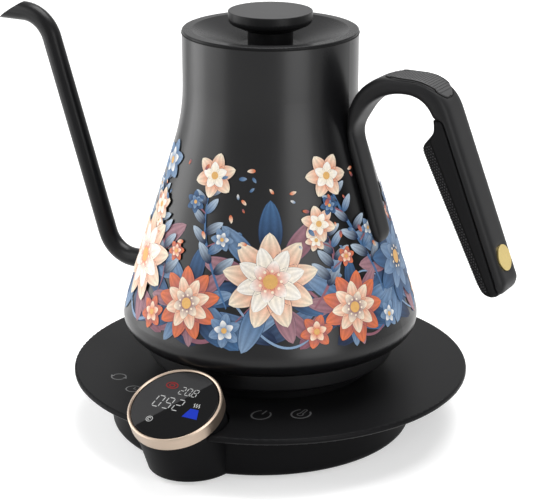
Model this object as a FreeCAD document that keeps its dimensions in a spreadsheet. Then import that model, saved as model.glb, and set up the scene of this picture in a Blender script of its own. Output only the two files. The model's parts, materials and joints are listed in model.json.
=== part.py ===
"""Electric gooseneck kettle with a power base, a tilted control dial and a lift-off lid.

Frame: millimetres, +Z up, origin on the table under the kettle's axis.
+X points to the handle, -X to the spout and -Y to the control dial.
"""
import FreeCAD, Part
import math
import os
import re

import Sketcher

doc = FreeCAD.newDocument("gooseneck_kettle")

# Driving dimensions in millimetres, angles in degrees
SIZES = {
    # power base
    "foot_height": 1.5,
    "plate_overhang": 23.2,
    "tray_offset": 9.4,
    "tray_height": 22.3,
    "tray_wall": 2.2,
    "tray_round": 3.2,
    "plate_radius": 95.0,
    "plate_thickness": 3.2,
    "plate_round": 1.2,
    "foot_ring_width": 4.0,
    "foot_ring_inset": 7.0,
    "foot_ring_seat": 1.0,
    "post_circle": 46.0,
    "post_radius": 4.0,
    "boss_length": 6.0,
    "gland_radius": 5.0,
    "gland_height": 12.0,
    "gland_flange": 1.6,
    # dock and its round connector
    "dock_inset": 10.0,
    "dock_height": 7.0,
    "dock_round": 1.5,
    "socket_radius": 17.0,
    "socket_depth": 12.0,
    "plug_radius": 11.0,
    "plug_rise": 11.0,
    "pin_radius": 1.8,
    "sleeve_radius": 5.9,
    "contact_wall": 0.5,
    "contact_play": 0.4,
    # boards inside the base
    "board_thickness": 1.6,
    "touch_inset": 10.8,
    "touch_angle_inner": 29.3,
    "touch_angle_outer": 46.6,
    "electrode_radius": 4.5,
    "electrode_height": 3.0,
    "power_board_length": 54.0,
    "power_board_width": 26.0,
    "power_board_start": 21.0,
    "pillar_height": 4.0,
    "pillar_radius": 2.5,
    "relay_length": 19.0,
    "relay_width": 15.5,
    "relay_height": 12.0,
    "transformer_side": 14.0,
    "transformer_height": 11.0,
    "capacitor_radius": 4.0,
    "capacitor_height": 11.5,
    # control dial, along its own tilted axis
    "dial_tilt": 25.2,
    "dial_clearance": 14.2,
    "dial_rise": 9.3,
    "dial_radius": 22.0,
    "dial_ring_height": 6.2,
    "dial_ring_wall": 1.4,
    "dial_bevel": 0.5,
    "lens_thickness": 1.4,
    "lens_gap": 0.4,
    "hub_radius": 17.2,
    "hub_wall": 1.4,
    "skirt_wall": 1.0,
    "skirt_drop": 5.6,
    "notch_count": 24,
    "pod_radius": 20.6,
    "pod_wall": 1.4,
    "pod_round": 2.0,
    "collar_overhang": 0.7,
    "collar_height": 3.0,
    "hub_flange": 1.5,
    "module_height": 3.0,
    # kettle body
    "neck_radius": 40.8,
    "belly_radius": 74.1,
    "cone_height": 108.0,
    "neck_height": 37.9,
    "neck_blend": 90.0,
    "belly_round": 10.0,
    "shell_wall": 1.0,
    "lip_width": 8.0,
    # kettle foot and heater
    "skirt_inset": 15.1,
    "skirt_height": 9.5,
    "skirt_shell": 2.2,
    "skirt_edge": 1.5,
    "pan_overlap": 1.0,
    "pan_flange": 10.0,
    "pan_rise": 5.5,
    "pan_wall": 1.2,
    "spreader_thickness": 3.5,
    "spreader_inset": 11.0,
    "spreader_gap": 5.1,
    "element_radius": 3.3,
    "element_angle": 280.0,
    "terminal_radius": 1.2,
    "cutout_radius": 6.0,
    "cutout_height": 6.0,
    "probe_inset": 6.0,
    "probe_radius": 2.4,
    "probe_rise": 14.0,
    "seal_lip": 1.2,
    "socket_wall": 3.4,
    "socket_flange": 2.0,
    "stud_inset": 4.0,
    "stud_radius": 2.6,
    # spout
    "spout_radius": 4.7,
    "spout_wall": 0.8,
    "spout_height": 22.8,
    "spout_reach": 89.4,
    "spout_lean": 37.1,
    "spout_top": 118.5,
    "spout_lower_bend": 16.0,
    "spout_upper_bend": 17.0,
    "spout_tip": 27.0,
    "spout_cut": 14.4,
    # handle
    "handle_width": 19.6,
    "handle_round": 3.0,
    "handle_standoff": 2.6,
    "handle_drop": 12.1,
    "handle_back_round": 24.0,
    "arch_reach": 48.4,
    "arch_round": 20.0,
    "arch_thickness": 7.7,
    "arch_inner_round": 24.0,
    "arch_outer_round": 13.4,
    "leg_width": 14.0,
    "leg_round": 1.5,
    "leg_depth": 4.3,
    "leg_drop": 81.3,
    "crook_drop": 27.8,
    "leg_crook_round": 9.0,
    "leg_end_round": 4.0,
    "grip_reach": 85.3,
    "grip_drop": 95.5,
    "grip_depth": 20.0,
    "grip_end_depth": 14.6,
    "grip_end_round": 7.0,
    "grip_tip_round": 4.0,
    "nose_drop": 30.1,
    "nose_round": 4.0,
    "nose_rise": 7.0,
    "nose_hollow": 4.0,
    "throat_setback": 8.3,
    "band_thickness": 4.6,
    "grip_top_drop": 17.0,
    "thumb_start": 20.0,
    "thumb_length": 30.0,
    "thumb_width": 16.0,
    "thumb_thickness": 1.2,
    "badge_radius": 6.0,
    "badge_thickness": 1.0,
    "badge_drop": 78.0,
    "bracket_length": 34.0,
    "bracket_width": 9.0,
    "bracket_thickness": 2.4,
    "bracket_drop": 53.8,
    "cross_pin_radius": 0.7,
    # lid
    "lid_rim_height": 1.4,
    "lid_sheet": 1.2,
    "lid_flange": 4.6,
    "lid_depth": 7.6,
    "lid_well": 14.0,
    "lid_cup_gap": 1.6,
    "lid_cup_wall": 1.4,
    "lid_cup_depth": 18.0,
    "lid_seal_height": 3.0,
    "lid_seal_depth": 0.7,
    "knob_radius": 19.5,
    "knob_height": 9.0,
    "knob_edge": 5.4,
    "knob_round": 3.0,
    "knob_hollow": 2.0,
    "knob_bevel": 0.4,
    "stem_radius": 10.5,
    "stem_height": 7.0,
    # fasteners and clearances
    "screw_radius": 1.5,
    "screw_head": 2.8,
    "screw_head_height": 2.0,
    "screw_bite": 4.5,
    "thread_gap": 0.1,
    "fit_gap": 0.15,
    "running_gap": 0.08,
    "moving_gap": 0.4,
}

# Sizes that follow from the driving ones, so that pieces keep fitting each other
FITTED = {
    "skirt_radius": "belly_radius - skirt_inset",
    "dock_radius": "skirt_radius - dock_inset",
    "pan_rim": "skirt_radius + pan_overlap",
    "shell_lip": "pan_rim - lip_width",
    "pan_radius": "pan_rim - pan_flange",
    "stud_circle": "pan_radius - stud_inset",
    "probe_circle": "pan_radius - probe_inset",
    "spreader_radius": "pan_radius - spreader_inset",
    "cup_bore": "plug_radius + 1.5 * contact_play",
    "cup_outer": "cup_bore + socket_wall",
    "spreader_bore": "cup_outer + spreader_gap",
    "element_circle": "0.5 * (spreader_bore + spreader_radius)",
    "lid_cup_radius": "neck_radius - shell_wall - lid_cup_gap",
}

FUNCTIONS = {"sin", "cos", "tan", "atan", "sqrt"}
LOWER_NAME = r"[a-z][a-z_]+"


def make_sheet():
    """The spreadsheet that holds every driving and fitted size under its own alias."""
    dims = doc.addObject("Spreadsheet::Sheet", "dims")
    cells = {**SIZES, **{alias: f"={formula}" for alias, formula in FITTED.items()}}
    for row, (alias, content) in enumerate(cells.items(), start=1):
        dims.set(f"A{row}", alias.replace("_", " "))
        dims.set(f"B{row}", str(content))
        dims.setAlias(f"B{row}", alias)
    doc.recompute()
    return dims


sheet = make_sheet()


def bound(formula):
    """A formula in size names, written the way document expressions name the sheet."""
    def with_sheet(match):
        word = match.group(0)
        return word if word in FUNCTIONS else f"dims.{word}"
    return re.sub(LOWER_NAME, with_sheet, str(formula))


def value(formula):
    """A formula's present value in millimetres or degrees."""
    return float(sheet.evalExpression(bound(formula)))


def bind(item, **formulas):
    """Tie properties of a document object to formulas, with __ for the dot of a path."""
    for path, formula in formulas.items():
        item.setExpression(path.replace("__", "."), bound(formula))
    return item


# Levels above the table
TRAY_FLOOR = "foot_height + tray_wall"
PLATE_UNDER = "foot_height + tray_height"
PLATE_TOP = f"{PLATE_UNDER} + plate_thickness"
DOCK_TOP = f"{PLATE_TOP} + dock_height"
PLUG_TOP = f"{DOCK_TOP} + plug_rise"
SHELL_FLOOR = f"{DOCK_TOP} + skirt_height"
NECK = f"{SHELL_FLOOR} + cone_height"
RIM = f"{NECK} + neck_height"
LID_TOP = f"{RIM} + lid_rim_height"
LID_WELL = f"{LID_TOP} - lid_depth"
PAN_SEAT = f"{SHELL_FLOOR} + shell_wall"
PAN_UNDER = f"{PAN_SEAT} + pan_rise"
HANDLE_TOP = f"{RIM} - handle_drop"
SPREADER_UNDER = f"{PAN_UNDER} - spreader_thickness"
SKIRT_FLOOR = f"{DOCK_TOP} + skirt_shell"

# Stations along the dial's axis, from the lens face downwards
RING_UNDER = "0 - dial_ring_height"
COLLAR_TOP = f"{RING_UNDER} - moving_gap"
COLLAR_UNDER = f"{COLLAR_TOP} - collar_height"
SKIRT_END = f"{RING_UNDER} - skirt_drop"
FLANGE_TOP = f"{SKIRT_END} - 2 * moving_gap"
FLANGE_SEAT = f"{FLANGE_TOP} - hub_flange"
BOARD_TOP = "0 - lens_thickness - module_height"
BOARD_SEAT = f"{BOARD_TOP} - board_thickness"

# Radii and reaches shared by pieces that fit in each other
TRAY_RADIUS = "(plate_radius - plate_overhang)"
TOUCH_RADIUS = "(plate_radius - plate_overhang - touch_inset)"
DIAL_REACH = "(belly_radius + dial_clearance)"
SKIRT_OUTER = "hub_radius + running_gap + skirt_wall"
COLLAR_BORE = "pod_radius - pod_wall"
COLLAR_OUTER = "pod_radius + collar_overhang"
CARRIER_OUTER = "dial_radius - dial_ring_wall"
LENS_RADIUS = f"{CARRIER_OUTER} - lens_gap"
HUB_BORE = "hub_radius - hub_wall"
NECK_BORE = "neck_radius - shell_wall"
SLEEVE_BORE = "sleeve_radius - contact_wall"

CONE_RUN = "(belly_radius - neck_radius)"
CONE_TILT = f"atan({CONE_RUN} / cone_height)"


def cone_radius(drop):
    """Radius of the kettle's cone a given drop below the end of the neck."""
    return f"neck_radius + {CONE_RUN} * ({drop}) / cone_height"


def plane_of(body, role):
    """One of a body's own origin planes or axes, found by its role."""
    return next(item for item in body.Origin.OriginFeatures if item.Role == role)


def new_body(label):
    body = doc.addObject("PartDesign::Body", label)
    body.Label = label
    return body


def new_sketch(body, role, lift="0"):
    """A sketch on a body's origin plane, lifted along the plane's normal."""
    sketch = body.newObject("Sketcher::SketchObject", f"{body.Name}_sketch")
    sketch.AttachmentSupport = [(plane_of(body, role), "")]
    sketch.MapMode = "FlatFace"
    bind(sketch, AttachmentOffset__Base__z=lift)
    return sketch


class Outline:
    """A drawn chain of straight runs and tangent arcs whose corners follow formulas.

    Each corner is (across, up) or (across, up, rounding).
    """

    def __init__(self, sketch, corners, closed=True):
        self.sketch = sketch
        self.corners = corners
        self.closed = closed
        self.points = [FreeCAD.Vector(value(c[0]), value(c[1]), 0) for c in corners]
        self.rounds = [value(c[2]) if len(c) > 2 else 0.0 for c in corners]
        self.geometry = []
        self.first = sketch.GeometryCount
        self.bends = {}
        self.draw_runs()
        sketch.addGeometry(self.geometry, False)
        self.tie()

    def way(self, index):
        """Unit direction of the run that leaves a corner."""
        count = len(self.points)
        step = self.points[(index + 1) % count] - self.points[index % count]
        return step.normalize()

    def is_bend(self, index):
        inner = self.closed or 0 < index < len(self.points) - 1
        return inner and self.rounds[index] > 0

    def trim(self, index):
        """How much a corner's arc takes off each of the runs that meet there."""
        if not self.is_bend(index):
            return 0.0
        turn = self.way(index - 1).getAngle(self.way(index))
        return self.rounds[index] * math.tan(turn / 2)

    def draw_runs(self):
        count = len(self.points)
        self.runs = count if self.closed else count - 1
        for index in range(self.runs):
            following = (index + 1) % count
            start = self.points[index] + self.way(index) * self.trim(index)
            end = self.points[following] - self.way(index) * self.trim(following)
            self.geometry.append(Part.LineSegment(start, end))
        for index in range(count):
            if self.is_bend(index):
                self.bends[index] = self.first + len(self.geometry)
                self.geometry.append(self.arc(index))

    def arc(self, index):
        """The tangent arc that rounds one corner, always drawn anticlockwise."""
        before, after = self.way(index - 1), self.way(index)
        left_turn = before.cross(after).z > 0
        side = FreeCAD.Vector(-before.y, before.x, 0) * (1 if left_turn else -1)
        entry = self.points[index] - before * self.trim(index)
        leave = self.points[index] + after * self.trim(index)
        centre = entry + side * self.rounds[index]
        start, end = (entry, leave) if left_turn else (leave, entry)
        angles = [math.atan2(p.y - centre.y, p.x - centre.x) for p in (start, end)]
        if angles[1] < angles[0]:
            angles[1] += 2 * math.pi
        circle = Part.Circle(centre, FreeCAD.Vector(0, 0, 1), self.rounds[index])
        return Part.ArcOfCircle(circle, *angles)

    def tie(self):
        """Constrain the chain fully, each corner's place and rounding to its formulas."""
        for index in range(len(self.points)):
            if self.is_bend(index):
                self.tie_bend(index)
            else:
                self.tie_corner(index)

    def tie_corner(self, index):
        run_before = self.first + (index - 1) % len(self.points)
        run_after = self.first + index
        has_before = self.closed or index > 0
        has_after = self.closed or index < self.runs
        if has_before and has_after:
            self.sketch.addConstraint(Sketcher.Constraint("Coincident", run_before, 2, run_after, 1))
        held = (run_after, 1) if has_after else (run_before, 2)
        self.place(held, index)

    def tie_bend(self, index):
        run_before = self.first + (index - 1) % len(self.points)
        run_after = self.first + index
        bend = self.bends[index]
        left_turn = self.way(index - 1).cross(self.way(index)).z > 0
        entry, leave = (1, 2) if left_turn else (2, 1)
        corner = self.sketch.addGeometry(Part.Point(self.points[index]), True)
        self.sketch.addConstraint([
            Sketcher.Constraint("Tangent", run_before, 2, bend, entry),
            Sketcher.Constraint("Tangent", bend, leave, run_after, 1),
            Sketcher.Constraint("PointOnObject", corner, 1, run_before),
            Sketcher.Constraint("PointOnObject", corner, 1, run_after),
        ])
        self.size(Sketcher.Constraint("Radius", bend, self.rounds[index]), self.corners[index][2])
        self.place((corner, 1), index)

    def place(self, held, index):
        across, up = self.corners[index][:2]
        point = self.points[index]
        self.size(Sketcher.Constraint("DistanceX", -1, 1, *held, point.x), across)
        self.size(Sketcher.Constraint("DistanceY", -1, 1, *held, point.y), up)

    def size(self, constraint, formula):
        number = self.sketch.addConstraint(constraint)
        self.sketch.setExpression(f"Constraints[{number}]", bound(formula))


def draw_circle(sketch, radius, across="0", up="0"):
    """A circle whose radius and centre follow formulas."""
    centre = FreeCAD.Vector(value(across), value(up), 0)
    circle = Part.Circle(centre, FreeCAD.Vector(0, 0, 1), value(radius))
    geo = sketch.addGeometry(circle, False)
    sizes = [
        (Sketcher.Constraint("Radius", geo, value(radius)), radius),
        (Sketcher.Constraint("DistanceX", -1, 1, geo, 3, centre.x), across),
        (Sketcher.Constraint("DistanceY", -1, 1, geo, 3, centre.y), up),
    ]
    for constraint, formula in sizes:
        number = sketch.addConstraint(constraint)
        sketch.setExpression(f"Constraints[{number}]", bound(formula))


def revolve(body, corners, angle="360"):
    """Turn an outline of (radius, height) corners about the body's Z axis."""
    sketch = new_sketch(body, "XZ_Plane")
    Outline(sketch, corners)
    turn = body.newObject("PartDesign::Revolution", f"{body.Name}_turn")
    turn.Profile = sketch
    turn.ReferenceAxis = (sketch, ["V_Axis"])
    bind(turn, Angle=angle)
    return turn


def turned(label, corners):
    body = new_body(label)
    revolve(body, corners)
    return body


def rings(body, base, length, *circles):
    """Pad concentric circles, given as (radius, across, up), upwards from a level."""
    sketch = new_sketch(body, "XY_Plane", base)
    for circle in circles:
        draw_circle(sketch, *circle)
    pad = body.newObject("PartDesign::Pad", f"{body.Name}_pad")
    pad.Profile = sketch
    bind(pad, Length=length)
    return pad


def slab(body, role, corners, length, middle=False, lift="0"):
    """Pad an outline off one of the body's planes, to one side or evenly to both."""
    sketch = new_sketch(body, role, lift)
    Outline(sketch, corners)
    pad = body.newObject("PartDesign::Pad", f"{body.Name}_pad")
    pad.Profile = sketch
    pad.SideType = "Symmetric" if middle else "One side"
    bind(pad, Length=length)
    return pad


def around(body, feature, count, start="0"):
    """Repeat a feature evenly about the body's Z axis."""
    doc.recompute()
    pattern = body.newObject("PartDesign::PolarPattern", f"{body.Name}_ring")
    pattern.Originals = [feature]
    pattern.Axis = (plane_of(body, "Z_Axis"), [""])
    pattern.Angle = 360
    bind(pattern, Occurrences=count)
    body.Tip = pattern
    bind(body, Placement__Rotation__Angle=start)
    return body


def box(label, low, high):
    """A block between two corners given as formulas."""
    block = doc.addObject("Part::Box", label)
    block.Label = label
    sizes = [f"({b}) - ({a})" for a, b in zip(low, high)]
    bind(block, Length=sizes[0], Width=sizes[1], Height=sizes[2])
    bind(block, Placement__Base__x=low[0], Placement__Base__y=low[1], Placement__Base__z=low[2])
    return block


def fused(label, *shapes):
    union = doc.addObject("Part::MultiFuse", label)
    union.Label = label
    union.Shapes = list(shapes)
    union.Refine = False
    return union


def cut(label, base, tool):
    result = doc.addObject("Part::Cut", label)
    result.Label = label
    result.Base = base
    result.Tool = tool
    return result


def carved(label, base, *tools):
    """A piece with several tools taken away from it one after the other."""
    for number, tool in enumerate(tools[:-1], start=1):
        base = cut(f"{label}_step_{number}", base, tool)
    return cut(label, base, tools[-1])


def common(label, base, tool):
    result = doc.addObject("Part::Common", label)
    result.Label = label
    result.Base = base
    result.Tool = tool
    return result


def shift(item, across="0", along="0", up="0"):
    return bind(item, Placement__Base__x=across, Placement__Base__y=along, Placement__Base__z=up)


def lean(item, axis, angle):
    """Turn a piece about an axis through its own origin by an angle formula."""
    item.Placement.Rotation = FreeCAD.Rotation(axis, 1)
    return bind(item, Placement__Rotation__Angle=angle)


def on_dial_axis(item):
    """Place a piece that was turned about Z on the dial's tilted axis."""
    lean(item, FreeCAD.Vector(1, 0, 0), "dial_tilt")
    return shift(item, along=f"0 - {DIAL_REACH}", up=f"{PLATE_TOP} + dial_rise")


def screws(label, tip, head_seat, head_height, circle, count, start):
    """A ring of upright screws with their heads below, one node of separate solids."""
    body = new_body(label)
    sketch = new_sketch(body, "XZ_Plane")
    axis = value(circle)
    Outline(sketch, [
        (circle, f"{head_seat} - {head_height}"),
        (f"{circle} + screw_head", f"{head_seat} - {head_height}"),
        (f"{circle} + screw_head", head_seat),
        (f"{circle} + screw_radius", head_seat),
        (f"{circle} + screw_radius", tip),
        (circle, tip),
    ])
    core = sketch.addGeometry(Part.LineSegment(FreeCAD.Vector(axis, 0, 0), FreeCAD.Vector(axis, 1, 0)), True)
    sketch.addConstraint(Sketcher.Constraint("Vertical", core))
    number = sketch.addConstraint(Sketcher.Constraint("DistanceX", -1, 1, core, 1, axis))
    sketch.setExpression(f"Constraints[{number}]", bound(circle))
    turn = body.newObject("PartDesign::Revolution", f"{label}_turn")
    turn.Profile = sketch
    turn.ReferenceAxis = (sketch, ["Axis0"])
    turn.Angle = 360
    return around(body, turn, count, start)


def base_pieces():
    """Tray with the dial's pod, top plate, foot ring, screws and the cord's gland."""
    ground = box("ground", ("0 - 2 * plate_radius",) * 3,
                 ("2 * plate_radius", "2 * plate_radius", "foot_height"))
    floor_block = box("floor_block", ("0 - 2 * plate_radius",) * 3,
                      ("2 * plate_radius", "2 * plate_radius", TRAY_FLOOR))

    tub = shift(turned("tub", [
        ("0", "foot_height"),
        (TRAY_RADIUS, "foot_height", "tray_round"),
        (TRAY_RADIUS, PLATE_UNDER),
        ("0", PLATE_UNDER),
    ]), along="0 - tray_offset")
    tub_hollow = shift(turned("tub_hollow", [
        ("0", TRAY_FLOOR),
        (f"{TRAY_RADIUS} - tray_wall", TRAY_FLOOR, "tray_round - tray_wall"),
        (f"{TRAY_RADIUS} - tray_wall", PLATE_UNDER),
        ("0", PLATE_UNDER),
    ]), along="0 - tray_offset")

    deep = "0 - plate_radius"
    pod = on_dial_axis(turned("pod", [
        ("0", deep),
        ("pod_radius", deep),
        ("pod_radius", COLLAR_UNDER),
        (COLLAR_OUTER, COLLAR_UNDER),
        (COLLAR_OUTER, COLLAR_TOP, "0.5 * collar_overhang"),
        ("0", COLLAR_TOP),
    ]))
    pod_bore = on_dial_axis(turned("pod_bore", [
        ("0", deep),
        (f"{COLLAR_BORE} - 2 * pod_wall", deep),
        (f"{COLLAR_BORE} - 2 * pod_wall", FLANGE_SEAT),
        (COLLAR_BORE, FLANGE_SEAT),
        (COLLAR_BORE, COLLAR_TOP),
        ("0", COLLAR_TOP),
    ]))
    pod_standing = cut("pod_standing", pod, ground)
    doc.recompute()
    pod_rounded = doc.addObject("Part::Fillet", "pod_rounded")
    pod_rounded.Base = pod_standing
    sole = value("foot_height")
    pod_rounded.Edges = [
        (number, value("pod_round"), value("pod_round"))
        for number, edge in enumerate(pod_standing.Shape.Edges, start=1)
        if edge.BoundBox.ZMax < sole + 1e-3
    ]
    pod_hollow = cut("pod_hollow", pod_bore, floor_block)

    posts = new_body("posts")
    post_foot = "foot_height + 0.5 * tray_wall"
    post_rise = "tray_height - boss_length - 0.5 * tray_wall"
    around(posts, rings(posts, post_foot, post_rise, ("post_radius", "post_circle", "0")), "4", "45")
    seat = "foot_height + 0.5 * boss_length"
    bores = new_body("post_bores")
    around(bores, rings(bores, "0", PLATE_UNDER, ("screw_radius + fit_gap", "post_circle", "0")), "4", "45")
    sinks = new_body("post_sinks")
    around(sinks, rings(sinks, "0", seat, ("screw_head + fit_gap", "post_circle", "0")), "4", "45")
    pillars = [
        doc.addObject("Part::Cylinder", "pillar")
        for _ in range(4)
    ]
    half = "0.5 * power_board_length - pillar_radius"
    near = "power_board_start + pillar_radius"
    far = "power_board_start + power_board_width - pillar_radius"
    for pillar, (across, along) in zip(pillars, [(half, near), (half, far), (f"0 - ({half})", near),
                                                 (f"0 - ({half})", far)]):
        bind(pillar, Radius="pillar_radius", Height="pillar_height + 0.5 * tray_wall")
        shift(pillar, across, along, f"{TRAY_FLOOR} - 0.5 * tray_wall")

    ring_outer = f"{TRAY_RADIUS} - foot_ring_inset"
    ring_inner = f"{ring_outer} - foot_ring_width"
    groove = new_body("foot_groove")
    rings(groove, "0", "foot_height + foot_ring_seat", (ring_outer,), (ring_inner,))
    shift(groove, along="0 - tray_offset")
    foot_ring = new_body("foot_ring")
    rings(foot_ring, "0", "foot_height + foot_ring_seat", (f"{ring_outer} - fit_gap",),
          (f"{ring_inner} + fit_gap",))
    shift(foot_ring, along="0 - tray_offset")

    rear = f"{TRAY_RADIUS} - tray_offset"
    gland_hole = doc.addObject("Part::Cylinder", "gland_hole")
    bind(gland_hole, Radius="gland_radius + fit_gap", Height="4 * tray_wall")
    lean(gland_hole, FreeCAD.Vector(1, 0, 0), "90")
    shift(gland_hole, along=f"{rear} + tray_wall", up="gland_height")

    tray_open = carved("tray_open", fused("tray_solid", tub, pod_rounded), tub_hollow, pod_hollow)
    tray_full = fused("tray_full", tray_open, posts, *pillars)
    base_tray = carved("base_tray", tray_full, bores, sinks, groove, gland_hole)

    plate = new_body("plate_disc")
    revolve(plate, [
        ("socket_radius + fit_gap", PLATE_UNDER),
        ("plate_radius - plate_round", PLATE_UNDER, "plate_round"),
        ("plate_radius", f"{PLATE_UNDER} + plate_round"),
        ("plate_radius", PLATE_TOP, "plate_round"),
        ("socket_radius + fit_gap", PLATE_TOP),
    ])
    bosses = new_body("bosses")
    around(bosses, rings(bosses, f"{PLATE_UNDER} - boss_length", "boss_length",
                         ("post_radius", "post_circle", "0"),
                         ("screw_radius + thread_gap", "post_circle", "0")), "4", "45")
    notch = doc.addObject("Part::Cylinder", "pod_notch")
    bind(notch, Radius=f"{COLLAR_OUTER} + moving_gap", Height="2 * plate_radius")
    lean(notch, FreeCAD.Vector(1, 0, 0), "dial_tilt")
    shift(notch, along=f"0 - {DIAL_REACH} + plate_radius * sin(dial_tilt)",
          up=f"{PLATE_TOP} + dial_rise - plate_radius * cos(dial_tilt)")
    base_plate = cut("base_plate", fused("plate_with_bosses", plate, bosses), notch)

    base_screws = screws("base_screws", f"{PLATE_UNDER} - boss_length + screw_bite", seat,
                         "screw_head_height", "post_circle", "4", "45")

    lip = "gland_radius + gland_flange"
    wall = "(tray_wall + gland_flange)"
    cord_gland = turned("cord_gland", [
        ("0.6 * gland_radius", f"0 - {wall} - gland_flange"),
        (lip, f"0 - {wall} - gland_flange"),
        (lip, f"0 - {wall}"),
        ("gland_radius", f"0 - {wall}"),
        ("gland_radius", "2 * fit_gap"),
        (lip, "2 * fit_gap"),
        ("0.8 * gland_radius + 0.2 * gland_flange", "2 * gland_flange"),
        ("0.6 * gland_radius", "2 * gland_flange"),
    ])
    lean(cord_gland, FreeCAD.Vector(1, 0, 0), "0 - 90")
    shift(cord_gland, along=rear, up="gland_height")
    return [base_tray, base_plate, foot_ring, base_screws, cord_gland]


def dock_pieces():
    """The ring that the kettle stands on and the round connector in its middle."""
    dock_ring = turned("dock_ring", [
        ("socket_radius + running_gap", PLATE_TOP),
        ("dock_radius", PLATE_TOP),
        ("dock_radius", DOCK_TOP, "dock_round"),
        ("socket_radius + running_gap", DOCK_TOP),
    ])
    slot_outer = "sleeve_radius + contact_play + contact_wall"
    slot_inner = f"{SLEEVE_BORE} - contact_play"
    well = f"{DOCK_TOP} - 0.5 * dock_height"
    pin_bore = "pin_radius + contact_play + contact_wall"
    base_connector = turned("base_connector", [
        ("0", f"{PLATE_UNDER} - socket_depth"),
        ("socket_radius", f"{PLATE_UNDER} - socket_depth"),
        ("socket_radius", f"{PLATE_UNDER} - plate_thickness"),
        ("socket_radius + plate_thickness", f"{PLATE_UNDER} - plate_thickness"),
        ("socket_radius + plate_thickness", PLATE_UNDER),
        ("socket_radius", PLATE_UNDER),
        ("socket_radius", f"{DOCK_TOP} - 2 * moving_gap"),
        ("plug_radius", f"{DOCK_TOP} - 2 * moving_gap"),
        ("plug_radius", PLUG_TOP, "contact_wall"),
        (slot_outer, PLUG_TOP),
        (slot_outer, well),
        (slot_inner, well),
        (slot_inner, PLUG_TOP),
        (pin_bore, PLUG_TOP),
        (pin_bore, well),
        ("0", well),
    ])
    base_contacts = new_body("base_contacts")
    rings(base_contacts, well, "plug_rise", (pin_bore,), ("pin_radius + contact_play",),
          (slot_outer,), ("sleeve_radius + contact_play",))
    return dock_ring, [base_connector, base_contacts]


def board_pieces():
    """Touch board under the plate and the mains board with its parts on the tray's floor."""
    board_under = f"{PLATE_UNDER} - electrode_height - board_thickness"
    sides = [(across, spread) for spread in ("touch_angle_inner", "touch_angle_outer")
             for across in ("", "0 - ")]
    electrodes = new_body("touch_electrodes")
    rings(electrodes, f"{PLATE_UNDER} - electrode_height", "electrode_height", *[
        ("electrode_radius", f"{side}{TOUCH_RADIUS} * sin({spread})", f"0 - {TOUCH_RADIUS} * cos({spread})")
        for side, spread in sides
    ])
    shift(electrodes, along="0 - tray_offset")

    control_board = new_body("control_board")
    sketch = new_sketch(control_board, "XZ_Plane")
    Outline(sketch, [
        (f"{TOUCH_RADIUS} - 2 * electrode_radius", board_under),
        (f"{TOUCH_RADIUS} + electrode_radius", board_under),
        (f"{TOUCH_RADIUS} + electrode_radius", f"{board_under} + board_thickness"),
        (f"{TOUCH_RADIUS} - 2 * electrode_radius", f"{board_under} + board_thickness"),
    ])
    arc = control_board.newObject("PartDesign::Revolution", "control_board_arc")
    arc.Profile = sketch
    arc.ReferenceAxis = (sketch, ["V_Axis"])
    arc.Midplane = True
    bind(arc, Angle="2 * touch_angle_outer + 20")
    lean(control_board, FreeCAD.Vector(0, 0, 1), "0 - 90")
    shift(control_board, along="0 - tray_offset")

    board_top = f"{TRAY_FLOOR} + pillar_height + board_thickness"
    half = "0.5 * power_board_length"
    power_board = box("power_board", (f"0 - {half}", "power_board_start", f"{TRAY_FLOOR} + pillar_height"),
                      (half, "power_board_start + power_board_width", board_top))
    middle = "power_board_start + 0.5 * power_board_width"
    relay = box("relay", (f"0 - {half} + pillar_radius", f"{middle} - 0.5 * relay_width", board_top),
                (f"0 - {half} + pillar_radius + relay_length", f"{middle} + 0.5 * relay_width",
                 f"{board_top} + relay_height"))
    transformer = box("transformer", ("0", f"{middle} - 0.5 * transformer_side", board_top),
                      ("transformer_side", f"{middle} + 0.5 * transformer_side",
                       f"{board_top} + transformer_height"))
    capacitor = doc.addObject("Part::Cylinder", "capacitor")
    capacitor.Label = "capacitor"
    bind(capacitor, Radius="capacitor_radius", Height="capacitor_height")
    shift(capacitor, f"{half} - pillar_radius - capacitor_radius", middle, board_top)
    return [electrodes, control_board, power_board, relay, transformer, capacitor]


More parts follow.
